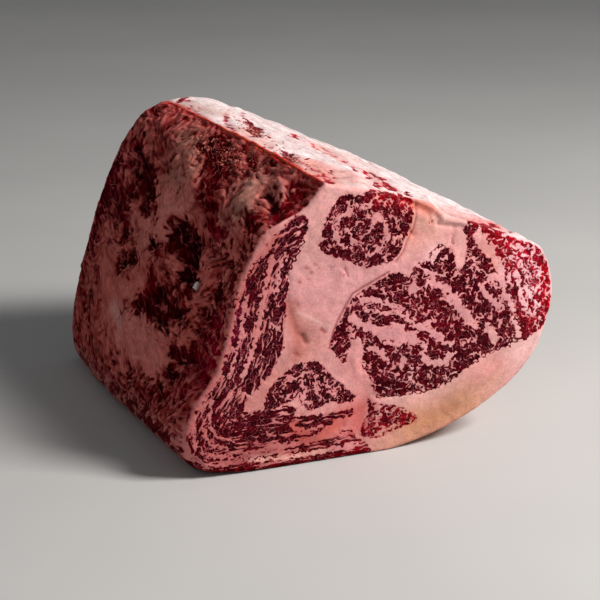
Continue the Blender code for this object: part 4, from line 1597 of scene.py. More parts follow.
@dataclass
class Tissue:
    """What the vertices of the skin carry: relief, and the tones of the finish."""

    rise: Array
    lean: Array
    wet: Array
    fat: Array
    muscle: Array
    weight: Array

    @classmethod
    def blank(cls, count: int) -> "Tissue":
        """Return tissue for a number of vertices, with nothing laid on it."""
        flat, tones = np.zeros(count), np.zeros((count, 3))
        return cls(flat.copy(), flat.copy(), flat.copy(), tones.copy(), tones.copy(), flat.copy())

    def lay(self, chart: Chart, at: Array, x: Array, y: Array, weight: Array,
            crisp: Array) -> None:
        """Lay a chart's tissue on some vertices.

        Args:
            chart: the chart.
            at: the vertices.
            x, y: their places on the chart.
            weight: how much of the tissue there comes from this chart.
            crisp: how sharply muscle and fat part.
        """
        self.rise[at] += weight * chart.sample("rise", x, y)
        self.lean[at] += weight * crisp * chart.sample("lean", x, y)
        self.wet[at] += weight * chart.sample("wet", x, y)
        self.fat[at] += weight[:, None] * chart.sample("fat", x, y)
        self.muscle[at] += weight[:, None] * chart.sample("muscle", x, y)
        self.weight[at] += weight

    def settle(self) -> None:
        """Divide by the weights, so that blended tissue keeps its strength."""
        share = np.maximum(self.weight, 1e-9)
        self.rise, self.lean, self.wet = self.rise / share, self.lean / share, self.wet / share
        self.fat, self.muscle = self.fat / share[:, None], self.muscle / share[:, None]


@dataclass
class Skin:
    """The skin of the joint: its grid of outlines, its two cut faces and their tissue."""

    form: LoinForm = field(default_factory=LoinForm)
    along_step: float = 0.80            # space between outlines, in mm
    chine_step: float = 0.62            # space between points of an outline on the chine side
    side_step: float = 0.85             # the same on the other sides
    edge_rings: int = 11                # rings across a rounded edge
    muscle_step: float = 0.40           # space between points of the near face, in muscle
    far_step: float = 0.45              # the same on the far face, which shows less
    fat_step: float = 0.80              # the same in plain fat
    busy_lean: float = -0.75            # a place with more muscle near it counts as muscle
    rim_gap: float = 0.45               # clear space along a rim, in side steps
    swell_inset: float = 6.0            # how far in from the rim the swells reach full height
    face_origin: float = 0.09387        # from the belly corner to the middle of the solid
    blend: float = 3.0                  # how far past their edge two sides blend, in mm
    edge_run: float = 3.4               # what a rounded edge takes up on a side's chart, in mm
    soft: float = 0.30                  # how sharply muscle and fat part on a torn side
    crisp: dict[Side, float] = field(default_factory=lambda: {Side.BACK: 0.7, Side.CAP: 0.7})
    turns: Array = field(init=False)
    shares: Array = field(init=False)
    bends: Array = field(init=False)
    ends: Array = field(init=False)
    downs: dict[Side, Array] = field(default_factory=dict)
    charts: dict[Side, Chart] = field(default_factory=dict)
    places: Array = field(init=False)
    middle: Array = field(init=False)   # of the outlines, which moves to the solid's
    triangles: Array = field(init=False)
    owners: Array = field(init=False)
    unwrap: Array = field(init=False)
    normals: Array = field(init=False)
    tissue: Tissue = field(init=False)

    def build(self) -> "Skin":
        """Build the whole skin, in the solid's place."""
        self.set_rings()
        grid = self.ring_places()
        low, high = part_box(NODE_NAME)
        self.middle = (grid.reshape(-1, 3).min(0) + grid.reshape(-1, 3).max(0)) / 2
        self.middle[2] = -low.z
        self.middle[1] -= (low.y + high.y) / 2
        self.middle[0] -= (low.x + high.x) / 2
        log.info("middle of the outlines: %s", np.round(self.middle / MM, 3))
        faces = {Side.NEAR_CUT: CutFace(self.form, -1).build(),
                 Side.FAR_CUT: CutFace(self.form, 1).build()}
        for side, face in faces.items():
            self.charts[side] = face.chart
        for pattern in SIDES:
            self.charts[pattern.side] = pattern.chart()
        parts, triangles, owners, unwrap = [grid.reshape(-1, 3)], [], [], []
        sides, corners = self.grid_faces()
        triangles.append(corners)
        owners.append(sides)
        offset = grid.shape[0] * grid.shape[1]
        for side, end, row in ((Side.NEAR_CUT, -1, 0), (Side.FAR_CUT, 1, len(self.shares) - 1)):
            inner, tris = self.face_points(side, end, grid[row], row, offset)
            parts.append(inner)
            triangles.append(tris)
            owners.append(np.full(len(tris), side.index))
            offset += len(inner)
        self.places = np.concatenate(parts)
        self.triangles = np.concatenate(triangles)
        self.owners = np.concatenate(owners)
        self.lay_tissue(grid.shape[:2], [len(part) for part in parts])
        smooth = vertex_normals(self.places, self.triangles)
        self.places = self.places + smooth * (self.tissue.rise * MM)[:, None]
        self.places[:, 2] = np.maximum(self.places[:, 2], 0.0)
        self.normals = vertex_normals(self.places, self.triangles)
        self.places = self.places - self.middle
        return self

    def set_rings(self) -> None:
        """Choose the places round the outline, and the rings along the loin."""
        turns = []
        for row in range(len(OUTLINE)):
            run = self.form.section(0, row + np.linspace(0.0, 1.0, 5))
            length = np.linalg.norm(np.diff(run, axis=0), axis=1).sum() / MM
            step = self.chine_step if RIDGE <= row < BELLY_CORNER else self.side_step
            parts = max(1, math.ceil(length / step))
            turns.append(row + np.arange(parts) / parts)
        self.turns = np.concatenate(turns)
        skin_rows = np.linspace(0.0, 1.0, round(self.form.length / MM / self.along_step))
        rings = np.arange(1, self.edge_rings + 1) / self.edge_rings
        self.shares = np.concatenate((np.zeros(len(rings)), skin_rows, np.ones(len(rings))))
        self.bends = np.concatenate((rings[::-1], np.zeros(len(skin_rows)), rings))
        self.ends = np.where(self.shares < 0.5, -1, 1)

    def ring_places(self) -> Array:
        """Return the points of every ring."""
        rings = []
        for share, bend, end in zip(self.shares, self.bends, self.ends):
            if bend > 0:
                rings.append(self.form.edge(self.turns, int(end), float(bend)))
            else:
                rings.append(self.form.skin(self.turns, np.full_like(self.turns, share))[0])
        return np.stack(rings)

    def grid_faces(self) -> tuple[Array, Array]:
        """Return the side that owns each triangle between the rings, and its corners."""
        rows, count = len(self.shares), len(self.turns)
        row, column = np.meshgrid(np.arange(rows - 1), np.arange(count), indexing="ij")
        after = (column + 1) % count
        a, b = row * count + column, (row + 1) * count + column
        c, d = (row + 1) * count + after, row * count + after
        first = np.stack((a, b, c), axis=-1).reshape(-1, 3)
        second = np.stack((a, c, d), axis=-1).reshape(-1, 3)
        middle = self.turns[column] + 1e-6
        owner = np.full(column.shape, Side.REST.index)
        for pattern in SIDES:
            low, high = min(pattern.rows), max(pattern.rows)
            if pattern.side is not Side.REST:
                owner[(middle >= low) & (middle < high)] = pattern.side.index
        owner = owner.reshape(-1)
        return np.concatenate((owner, owner)), np.concatenate((first, second))

    def face_points(self, side: Side, end: int, rim: Array, row: int,
                    offset: int) -> tuple[Array, Array]:
        """Fill one cut face.

        Args:
            side: which cut face.
            end: -1 for the near end, 1 for the far end.
            rim: the points of its rim.
            row: the ring that the rim is.
            offset: how many vertices come before the face's own.

        Returns:
            The points inside the rim, and the triangles that join them to it.
        """
        edge = tuple(map(tuple, rim[:, [0, 2]] / MM))
        depths = Chart((-6.0, 196.0), (-4.0, 144.0), 1.5, FACE_FAT, FACE_MUSCLE)
        depths.rise = inside_distance(depths.x, depths.y, edge[::3])
        inner = self.inner_points(self.charts[side], depths,
                                  self.muscle_step if end < 0 else self.far_step)
        tris = self.facing_triangles(side, end, np.concatenate((rim[:, [0, 2]] / MM, inner)), edge)
        inset = ease(depths.sample("rise", inner[:, 0], inner[:, 1]), 0.0, self.swell_inset)
        rise = self.form.face_rise(inner[:, 0] * MM, inner[:, 1] * MM) * inset
        along = end * (self.form.length / 2 + rise)
        points = np.stack((inner[:, 0] * MM, along, inner[:, 1] * MM), axis=1)
        count = len(rim)
        names = np.concatenate((row * count + np.arange(count), offset + np.arange(len(inner))))
        return points, names[tris]

    def inner_points(self, chart: Chart, depths: Chart, muscle_step: float) -> Array:
        """Choose the points of a cut face, closer together where muscle marbles it.

        Args:
            chart: the face's chart.
            depths: a coarse chart whose rise is the distance in from the rim.
            muscle_step: the space between points in muscle.

        Returns:
            The points across and up, in mm.
        """
        chosen = []
        for step, wanted in ((muscle_step, True), (self.fat_step, False)):
            x, z = np.meshgrid(np.arange(-2.0, 192.0, step),
                               np.arange(0.0, 142.0, step * math.sqrt(3) / 2))
            x = x + (np.arange(len(x)) % 2)[:, None] * step / 2
            x, z = x.ravel(), z.ravel()
            inside = depths.sample("rise", x, z) > self.rim_gap * self.side_step
            x, z = x[inside], z[inside]
            busy = np.full(len(x), -9.0)
            for dx, dz in ((0, 0), (0.9, 0), (-0.9, 0), (0, 0.9), (0, -0.9)):
                busy = np.maximum(busy, chart.sample("lean", x + dx, z + dz))
            keep = (busy > self.busy_lean) == wanted
            chosen.append(np.stack((x[keep], z[keep]), axis=1))
        return np.concatenate(chosen)

    def facing_triangles(self, side: Side, end: int, flat: Array,
                         edge: tuple[Place, ...]) -> Array:
        """Join a cut face's points with triangles that face out of the joint.

        Args:
            side: which cut face.
            end: -1 for the near end, 1 for the far end.
            flat: the points of the rim and then those inside it, across and up, in mm.
            edge: the points of the rim.

        Returns:
            The corners of the triangles.
        """
        found = delaunay_2d_cdt([Vector(point) for point in flat.tolist()], [],
                                [list(range(len(edge)))], 1, 1e-6, False)
        if len(found[0]) != len(flat):
            raise RuntimeError("the cut face's points moved when it was filled")
        tris = np.array([face[:3] for face in found[2] if len(face) == 3], int)
        a, b, c = (flat[tris[:, k]] for k in range(3))
        area = ((b[:, 0] - a[:, 0]) * (c[:, 1] - a[:, 1])
                - (b[:, 1] - a[:, 1]) * (c[:, 0] - a[:, 0]))
        middle = flat[tris].mean(axis=1)
        kept = np.abs(area) > 1e-9
        bridging = np.flatnonzero((tris < len(edge)).all(axis=1))   # joins the rim to itself
        kept[bridging] &= inside_distance(middle[bridging, 0], middle[bridging, 1], edge) > 0
        log.info("%s: %d of %d triangles lie outside its rim", side.value,
                 np.sum(~kept), len(kept))
        tris, area = tris[kept], area[kept]
        clockwise = (area < 0) != (end > 0)
        tris[clockwise] = tris[clockwise][:, ::-1]
        return tris

    def lay_tissue(self, shape: tuple[int, int], counts: list[int]) -> None:
        """Lay every chart on the skin, blended where two sides meet.

        Args:
            shape: how many rings there are, and points in each.
            counts: how many vertices the rings and each face have.
        """
        rows, columns = shape
        self.tissue = Tissue.blank(sum(counts))
        self.unwrap = np.zeros((sum(counts), len(Side), 2))
        shares, bends = self.shares[:, None], self.bends[:, None]
        along = np.broadcast_to(self.form.length / MM * shares, shape)
        face_share = np.broadcast_to(ease(bends, -0.1, 0.6), shape)
        for pattern in SIDES:
            down = self.side_depth(pattern)
            self.downs[pattern.side] = down
            weight = (ease(down, -self.blend, self.blend)
                      * ease(pattern.depth - down, -self.blend, self.blend))
            weight = weight * (1 - face_share)
            at = np.flatnonzero(weight.ravel() > 1e-6)
            crisp = self.crisp.get(pattern.side, self.soft)
            crisp = np.broadcast_to(crisp + (1 - crisp) * bends, shape).ravel()[at]
            self.tissue.lay(self.charts[pattern.side], at, along.ravel()[at], down.ravel()[at],
                            weight.ravel()[at], crisp)
            edge = np.where(self.ends < 0, -1.0, 1.0)[:, None] * self.edge_run * bends
            self.unwrap[:rows * columns, pattern.side.index] = np.stack(
                ((along + edge).ravel(), down.ravel()), axis=1)
        shift = self.face_origin - self.middle[0]
        x, z = (self.places[:, 0] + shift) / MM, self.places[:, 2] / MM
        starts = np.cumsum([0] + counts)
        for side, end, inner in ((Side.NEAR_CUT, -1, 1), (Side.FAR_CUT, 1, 2)):
            ring = np.flatnonzero(((self.ends == end)[:, None] & (face_share > 0)).ravel())
            at = np.concatenate((ring, np.arange(starts[inner], starts[inner + 1])))
            weight = np.concatenate((face_share.ravel()[ring], np.ones(len(at) - len(ring))))
            self.tissue.lay(self.charts[side], at, x[at], z[at], weight, np.ones(len(at)))
            self.unwrap[:, side.index] = np.stack((x, z), axis=1)
        self.tissue.settle()

    def side_depth(self, pattern: SidePattern) -> Array:
        """Return how far down a side's chart each point of the grid lies, in mm.

        Args:
            pattern: the side.

        Returns:
            The depth at each ring and column, past the chart's edges too.
        """
        low, high = min(pattern.rows), max(pattern.rows)
        fine = np.arange(low - 1.0, high + 1.0 + 1e-9, 0.05)
        turn = self.turns.copy()
        if high > len(OUTLINE):
            turn = np.where(turn < low - 1.0, turn + len(OUTLINE), turn)
        depth = np.full((len(self.shares), len(turn)), -99.0)
        near = (turn >= low - 1.0) & (turn <= high + 1.0)
        for row, share in enumerate(self.shares):
            line = self.form.outline(fine, np.full_like(fine, share))
            run = np.concatenate(([0.0], np.cumsum(np.linalg.norm(np.diff(line, axis=0), axis=1))))
            start, stop = np.interp([low, high], fine, run)
            measure = (np.interp(turn[near], fine, run) - start) / (stop - start)
            if pattern.rows[0] > pattern.rows[1]:
                measure = 1.0 - measure
            depth[row, near] = measure * pattern.depth
        return depth

    def spots(self, side: Side, along: Array, down: Array) -> tuple[Array, Array]:
        """Find places of a side's chart on the finished skin.

        Args:
            side: the side.
            along, down: the places on its chart, in mm.

        Returns:
            The points, in metres, and the skin's normals there.
        """
        rows, columns = len(self.shares), len(self.turns)
        grid = np.concatenate((self.places, self.normals), axis=1)[:rows * columns]
        grid = grid.reshape(rows, columns, 6)
        first, last = self.edge_rings, rows - 1 - self.edge_rings
        found = []
        for share, depth in zip(along * MM / self.form.length, down):
            row = first + share * (last - first)
            low = min(max(int(row), first), last - 1)
            pair = []
            for ring in (low, low + 1):
                depths = self.downs[side][ring]
                at = np.flatnonzero(depths > -90)
                at = at[np.argsort(depths[at])]
                pair.append([np.interp(depth, depths[at], grid[ring, at, k]) for k in range(6)])
            found.append(np.array(pair[0]) * (low + 1 - row) + np.array(pair[1]) * (row - low))
        found = np.array(found)
        return found[:, :3], found[:, 3:]

    def piece(self, side: Side) -> bpy.types.Object:
        """Cut one piece out of the skin and give it what its finish reads.

        Args:
            side: the side it shows.

        Returns:
            The piece.
        """
        index = side.index
        tris = self.triangles[self.owners == index]
        used, corners = np.unique(tris.ravel(), return_inverse=True)
        mesh = blank_mesh(side.value, self.places[used], corners, np.full(len(tris), 3))
        for name, values in (("lean", self.tissue.lean), ("wet", self.tissue.wet)):
            layer = mesh.attributes.new(name, "FLOAT", "POINT")
            layer.data.foreach_set("value", values[used].astype(np.float32))
        for name, values in (("fat_tone", self.tissue.fat), ("muscle_tone", self.tissue.muscle)):
            layer = mesh.attributes.new(name, "FLOAT_COLOR", "POINT")
            tones = np.ones((len(used), 4), np.float32)
            tones[:, :3] = values[used]
            layer.data.foreach_set("color", tones.ravel())
        spot = self.unwrap[used, index]
        spot = 0.01 + 0.98 * (spot - spot.min(0)) / np.ptp(spot, axis=0)
        if side is Side.FAR_CUT:
            spot[:, 0] = 1.0 - spot[:, 0]
        layer = mesh.uv_layers.new(name="OFBake")
        layer.data.foreach_set("uv", spot[corners].astype(np.float32).ravel())
        mesh.normals_split_custom_set_from_vertices(self.normals[used].tolist())
        return new_object(mesh, side.value)


# ----------------------------------------------------------------------------------------
# Finishes.


class NodeLayout:
    """A short way to lay out the nodes of a tree."""

    tree: bpy.types.NodeTree

    def node(self, kind: str, feeds: dict, **settings: object) -> bpy.types.Node:
        """Add a node.

        Args:
            kind: its type.
            feeds: what goes into its inputs, by name or number: a socket or a value.
            settings: its properties.

        Returns:
            The node.
        """
        node = self.tree.nodes.new(kind)
        for name, value in settings.items():
            setattr(node, name, value)
        for name, value in feeds.items():
            self.feed(node.inputs[name], value)
        return node

    def feed(self, socket: Socket, value: Feed) -> None:
        """Fill a socket.

        Args:
            socket: an input.
            value: the output to link it to, or the value to set it to.
        """
        if isinstance(value, Socket):
            self.tree.links.new(value, socket)
        else:
            socket.default_value = value

    def math(self, operation: str, *values: Feed) -> Socket:
        """Return the result of a sum on one or two values."""
        return self.node("ShaderNodeMath", dict(enumerate(values)), operation=operation).outputs[0]

    def scaled(self, vector: Feed, amount: Feed) -> Socket:
        """Return a colour made lighter or darker, or a vector made longer or shorter."""
        return self.node("ShaderNodeVectorMath", {0: vector, "Scale": amount},
                         operation="SCALE").outputs[0]


class NodeSheet(NodeLayout):
    """The nodes of a material."""

    def __init__(self, name: str) -> None:
        """Start a material with a principled shader.

        Args:
            name: its name.
        """
        self.material = bpy.data.materials.new(name)
        self.material.use_nodes = True
        self.tree = self.material.node_tree
        self.shader = self.tree.nodes["Principled BSDF"]
        self.run, self.turn = (1.0, 1.0, 1.0), 0.0

    def attribute(self, name: str, output: str) -> Socket:
        """Read one of the values that the skin carries."""
        return self.node("ShaderNodeAttribute", {}, attribute_name=name).outputs[output]

    def spread(self, value: Feed, low: float, high: Feed, to_low: float = 0.0,
               to_high: float = 1.0) -> Socket:
        """Move a value smoothly from one range to another.

        Args:
            value: the value.
            low, high: the range it comes from.
            to_low, to_high: the range it goes to.

        Returns:
            The moved value.
        """
        numbers = dict(enumerate((value, low, high, to_low, to_high)))
        return self.node("ShaderNodeMapRange", numbers,
                         interpolation_type="SMOOTHSTEP").outputs["Result"]

    def noise(self, size: float, detail: float = 2.0, rough: float = 0.5) -> Socket:
        """Make noise round 0.5 over the object, drawn out along the sheet's run.

        Args:
            size: the size of its features, in metres.
            detail: how many finer layers it has.
            rough: how strong those are.

        Returns:
            The noise.
        """
        place = self.node("ShaderNodeTexCoord", {}).outputs["Object"]
        if self.run != (1.0, 1.0, 1.0):
            turned = self.node("ShaderNodeVectorRotate", {"Vector": place, "Angle": -self.turn},
                               rotation_type="X_AXIS").outputs["Vector"]
            place = self.node("ShaderNodeMapping",
                              {"Vector": turned, "Scale": self.run}).outputs["Vector"]
        return self.node("ShaderNodeTexNoise", {
            "Vector": place, "Scale": 1.0 / size, "Detail": detail,
            "Roughness": rough}).outputs[0]

    def mix(self, share: Feed, first: Feed, second: Feed, blend: str = "MIX") -> Socket:
        """Mix two colours.

        Args:
            share: how much of the second there is.
            first, second: the colours.
            blend: the way they mix.

        Returns:
            The mixed colour.
        """
        node = self.node("ShaderNodeMix", {0: share}, data_type="RGBA", blend_type=blend)
        colours = [socket for socket in node.inputs if socket.type == "RGBA"]
        self.feed(colours[0], first)
        self.feed(colours[1], second)
        return next(socket for socket in node.outputs if socket.type == "RGBA")

    def raise_by(self, height: Socket, strength: float, depth: float) -> None:
        """Give the shader relief.

        Args:
            height: the height of the surface.
            strength: how strongly it shows.
            depth: what a height of 1 stands for, in metres.
        """
        bump = self.node("ShaderNodeBump",
                         {"Strength": strength, "Distance": depth, "Height": height})
        self.feed(self.shader.inputs["Normal"], bump.outputs["Normal"])


@dataclass(frozen=True)
class TissueFinish:
    """Raw beef: muscle and fat that part along ragged edges, moist and slightly uneven."""

    name: str
    ragged: float = 0.16                # how far fine grain moves the edge between tissues
    ragged_size: float = 0.0012         # size of that grain, in metres
    thread: float = 0.26                # how strongly the finest threads of fat show
    thread_size: float = 0.0018         # space between them, in metres
    woven_size: float = 0.0042          # size of the patches where they lie closest
    girth_size: float = 0.0034          # size of the places where they are thicker
    cloud_size: float = 0.0026          # size of lighter and darker places in muscle
    streak_size: float = 0.006          # size of the places where its threads are paler
    mottle_size: float = 0.011          # size of lighter and darker places in fat
    speck_size: float = 0.0009          # size of its fine specks
    patch_size: float = 0.004           # size of duller and glossier places
    fibre_size: float = 0.0007          # size of the finest relief
    swell_size: float = 0.0030          # size of the softer relief
    edge: float = 0.26                  # softness of the edge between tissues
    run: tuple[float, float, float] = (1.0, 1.0, 1.0)       # how the grain is drawn out
    turn: float = 0.0                   # how far its run is turned up from level, in degrees
    stain: float = 0.62                 # how much blood stains the fat next to muscle
    blood: Paint = (0.84, 0.50, 0.52, 1.0)
    sinew: Paint = (0.46, 0.105, 0.13, 1.0)     # threads in muscle
    fat_rough: float = 0.44
    muscle_rough: float = 0.33
    specular: float = 0.02
    bump: float = 0.55
    bump_depth: float = 0.00030

    def material(self) -> bpy.types.Material:
        """Build the material."""
        sheet = NodeSheet(self.name)
        sheet.run, sheet.turn = self.run, math.radians(self.turn)
        lean, thread, share = self.tissues(sheet)
        self.colour(sheet, lean, thread, share)
        self.gloss(sheet, share)
        self.relief(sheet, share)
        return sheet.material

    def tissues(self, sheet: NodeSheet) -> tuple[Socket, Socket, Socket]:
        """Part muscle from fat.

        Args:
            sheet: the material.

        Returns:
            How lean a place is, how much of a thread crosses it, and its share of muscle.
        """
        laid = sheet.attribute("lean", "Fac")
        fine = sheet.noise(self.ragged_size, 2.0, 0.6)
        lean = sheet.math("ADD", laid, sheet.spread(fine, 0.25, 0.75, -self.ragged, self.ragged))
        thread = sheet.noise(self.thread_size, 1.0, 0.4)
        thread = sheet.math("ABSOLUTE", sheet.math("SUBTRACT", thread, 0.5))
        girth = sheet.spread(sheet.noise(self.girth_size, 2.0), 0.34, 0.66, 0.012, 0.062)
        thread = sheet.spread(thread, 0.002, girth, 1.0, 0.0)
        woven = sheet.spread(sheet.noise(self.woven_size, 2.0), 0.42, 0.60, 0.25, 1.15)
        lean = sheet.math("SUBTRACT", lean, sheet.math(
            "MULTIPLY", thread, sheet.math("MULTIPLY", woven, self.thread)))
        return lean, thread, sheet.spread(lean, -self.edge, self.edge)

    def colour(self, sheet: NodeSheet, lean: Socket, thread: Socket, share: Socket) -> None:
        """Colour muscle, its threads and fat, with blood in the fat next to muscle.

        Args:
            sheet: the material.
            lean, thread, share: what tissues() returns.
        """
        depth = sheet.spread(lean, 0.0, 0.9, 1.35, 0.78)
        cloud = sheet.spread(sheet.noise(self.cloud_size, 3.0), 0.34, 0.72, 0.45, 1.70)
        muscle = sheet.scaled(sheet.attribute("muscle_tone", "Color"),
                              sheet.math("MULTIPLY", depth, cloud))
        streak = sheet.spread(sheet.noise(self.streak_size), 0.34, 0.66, 0.05, 0.65)
        muscle = sheet.mix(sheet.math("MULTIPLY", thread, streak), muscle, self.sinew)
        blush = sheet.spread(lean, -1.5, -0.1, 0.0, self.stain)
        fat = sheet.mix(blush, sheet.attribute("fat_tone", "Color"), self.blood, "MULTIPLY")
        mottle = sheet.spread(sheet.noise(self.mottle_size, 4.0, 0.6), 0.3, 0.7, 0.84, 1.10)
        speck = sheet.spread(sheet.noise(self.speck_size, 2.0), 0.3, 0.7, 0.88, 1.07)
        fat = sheet.scaled(fat, sheet.math("MULTIPLY", mottle, speck))
        sheet.feed(sheet.shader.inputs["Base Color"], sheet.mix(share, fat, muscle))

    def gloss(self, sheet: NodeSheet, share: Socket) -> None:
        """Make the tissues moist, muscle more than fat, and faintly see-through.

        Args:
            sheet: the material.
            share: the share of muscle.
        """
        wet = sheet.attribute("wet", "Fac")
        rough = sheet.math("ADD", self.fat_rough, sheet.math(
            "MULTIPLY", share, self.muscle_rough - self.fat_rough))
        patch = sheet.spread(sheet.noise(self.patch_size, 3.0), 0.35, 0.65, 0.06, -0.06)
        rough = sheet.math("ADD", rough, patch)
        rough = sheet.math("SUBTRACT", rough, sheet.math("MULTIPLY", wet, 0.12))
        sheet.feed(sheet.shader.inputs["Roughness"], rough)
        for name, value in (("Specular IOR Level", self.specular), ("Subsurface Weight", 0.02),
                            ("Subsurface Radius", (1.0, 0.35, 0.25)),
                            ("Subsurface Scale", 0.0008)):
            sheet.shader.inputs[name].default_value = value

    def relief(self, sheet: NodeSheet, share: Socket) -> None:
        """Sink the muscle a little and raise its fibres.

        Args:
            sheet: the material.
            share: the share of muscle.
        """
        pile = sheet.math("MULTIPLY", share, -0.18)
        fibre = sheet.math("MULTIPLY", sheet.noise(self.fibre_size, 3.0, 0.6), 0.8)
        swell = sheet.math("MULTIPLY", sheet.noise(self.swell_size, 3.0, 0.5), 0.9)
        height = sheet.math("ADD", sheet.math("ADD", pile, fibre), swell)
        sheet.raise_by(height, self.bump, self.bump_depth)


CUT_FINISH = TissueFinish("raw_beef_cut")
CHINE_FINISH = TissueFinish("raw_beef_torn", ragged=0.22, ragged_size=0.0022, thread=0.34,
                            thread_size=0.0050, edge=0.50, run=(1.0, 0.22, 1.0), turn=30.0,
                            stain=0.9, sinew=(0.30, 0.05, 0.06, 1.0), muscle_rough=0.40,
                            specular=0.0)
REST_FINISH = TissueFinish("raw_beef_underside", muscle_rough=0.40, specular=0.0)
BACK_FINISH = TissueFinish("raw_beef_fat_side", ragged=0.24, ragged_size=0.0016, thread=0.20,
                           thread_size=0.0040, edge=0.30, run=(1.0, 0.25, 1.0), turn=-12.0,
                           stain=0.5)


@dataclass(frozen=True)
class FloorFinish:
    """A plain pale floor, faintly uneven."""

    colour: Colour = (0.56, 0.555, 0.545)
    rough: float = 0.75
    cloud_size: float = 0.25            # size of lighter and darker places, in metres

    def material(self) -> bpy.types.Material:
        """Build the material."""
        sheet = NodeSheet("pale_floor")
        cloud = sheet.spread(sheet.noise(self.cloud_size, 3.0), 0.3, 0.7, 0.97, 1.03)
        sheet.feed(sheet.shader.inputs["Base Color"], sheet.scaled(self.colour, cloud))
        sheet.shader.inputs["Roughness"].default_value = self.rough
        return sheet.material


# ----------------------------------------------------------------------------------------
# Threads and crumbs: what follows a path or repeats over the skin, by Geometry Nodes.


class PieceTree(NodeLayout):
    """A Geometry Nodes tree that makes a piece."""

    def __init__(self, name: str) -> None:
        """Start a tree that takes in a mesh and gives one out.

        Args:
            name: its name.
        """
        self.tree = bpy.data.node_groups.new(name, "GeometryNodeTree")
        for way in ("INPUT", "OUTPUT"):
            self.tree.interface.new_socket("Geometry", in_out=way,
                                           socket_type="NodeSocketGeometry")
        self.start = self.tree.nodes.new("NodeGroupInput")
        self.end = self.tree.nodes.new("NodeGroupOutput")

    def size(self, name: str, kind: str = "NodeSocketFloat") -> Socket:
        """Add a named input."""
        self.tree.interface.new_socket(name, in_out="INPUT", socket_type=kind)
        return self.start.outputs[name]

    def carried(self, name: str) -> Socket:
        """Read a value that the mesh carries."""
        return self.node("GeometryNodeInputNamedAttribute", {"Name": name},
                         data_type="FLOAT").outputs["Attribute"]

    def roughened(self, mesh: Socket, depth: Feed, grain: Feed) -> Socket:
        """Move a mesh in and out by noise.

        Args:
            mesh: the mesh.
            depth: how far, in metres.
            grain: how many lumps there are in a metre.

        Returns:
            The mesh, moved.
        """
        noise = self.node("ShaderNodeTexNoise", {"Scale": grain}).outputs[0]
        push = self.math("MULTIPLY", self.math("SUBTRACT", noise, 0.5), depth)
        normal = self.node("GeometryNodeInputNormal", {}).outputs["Normal"]
        return self.node("GeometryNodeSetPosition",
                         {"Geometry": mesh, "Offset": self.scaled(normal, push)}).outputs[0]

    def close(self, mesh: Socket) -> None:
        """End the tree: one plain, smooth mesh with its material.

        Args:
            mesh: what the tree has made.
        """
        for kind, feeds in (("GeometryNodeRealizeInstances", {}),
                            ("GeometryNodeSetShadeSmooth", {}),
                            ("GeometryNodeSetMaterial",
                             {"Material": self.size("Material", "NodeSocketMaterial")})):
            mesh = self.node(kind, {0: mesh, **feeds}).outputs[0]
        self.tree.links.new(mesh, self.end.inputs["Geometry"])

    def run(self, mesh: bpy.types.Mesh, name: str, sizes: dict) -> bpy.types.Object:
        """Run the tree on a mesh.

        Args:
            mesh: what goes in.
            name: the name of the piece.
            sizes: the values of the tree's inputs, by name.

        Returns:
            The piece, with a plain mesh.
        """
        item = new_object(mesh, name)
        modifier = item.modifiers.new("pieces", "NODES")
        modifier.node_group = self.tree
        for entry in self.tree.interface.items_tree:
            if entry.in_out == "INPUT" and entry.name in sizes:
                modifier[entry.identifier] = sizes[entry.name]
        evaluated = item.evaluated_get(bpy.context.evaluated_depsgraph_get())
        plain = bpy.data.meshes.new_from_object(evaluated)
        item.modifiers.remove(modifier)
        item.data = plain
        plain.name = name
        return item


@dataclass(frozen=True)
class Patch:
    """A patch of a side's chart, in mm along the loin and down the side."""

    side: Side
    middle: Place
    reach: Place

    def share(self, along: Array, down: Array) -> Array:
        """Return how much of the patch there is at places, from 0 to 1."""
        return (bell(along - self.middle[0], self.reach[0] / 2)
                * bell(down - self.middle[1], self.reach[1] / 2))


@dataclass(frozen=True)
class Threads:
    """Loose threads of sinew and skin that lie along the fibres of a patch."""

    patch: Patch
    count: int
    length: Place                       # shortest and longest, in mm
    girth: Place                        # radius of the thinnest and the thickest, in mm
    curl: float                         # how far they stray from the fibres, in radians
    lift: float                         # how far their middle stands off the skin, in mm
    seed: int
    step: float = 0.7                   # between the points of a thread, in mm
    bends: Place = (0.10, 0.45)         # how fast it winds, in radians for each step

    def paths(self, skin: Skin) -> list[tuple[Array, Array]]:
        """Lay the threads on the skin.

        Args:
            skin: the finished skin.

        Returns:
            Each thread's points, in metres, and its girth at each.
        """
        rng = np.random.default_rng(self.seed)
        pattern = next(entry for entry in SIDES if entry.side is self.patch.side)
        threads = []
        for _ in range(self.count):
            place = np.array(self.patch.middle) + rng.uniform(-1, 1, 2) * self.patch.reach
            girth, length = rng.uniform(*self.girth), rng.uniform(*self.length)
            sway, pace = rng.normal(0, self.curl, 2), rng.uniform(*self.bends)
            phase = rng.uniform(0, 6)
            walk = []
            for stride in range(max(4, round(length / self.step))):
                walk.append(place)
                turn = float(pattern.heading(place[:1], place[1:])[0]) + sway[0]
                turn += sway[1] * math.sin(pace * stride + phase)
                place = place + self.step * np.array((math.cos(turn), math.sin(turn)))
            along, down = np.array(walk).T
            keep = (along > 1) & (along < 189) & (down > 1) & (down < pattern.depth - 1)
            if keep.sum() < 4:
                continue
            points, normals = skin.spots(self.patch.side, along[keep], down[keep])
            share = np.linspace(0.0, 1.0, len(points))
            rise = self.lift * np.sin(math.pi * share) - 0.5 * girth
            threads.append((points + normals * (rise * MM)[:, None],
                            np.full(len(points), girth * MM)))
        return threads


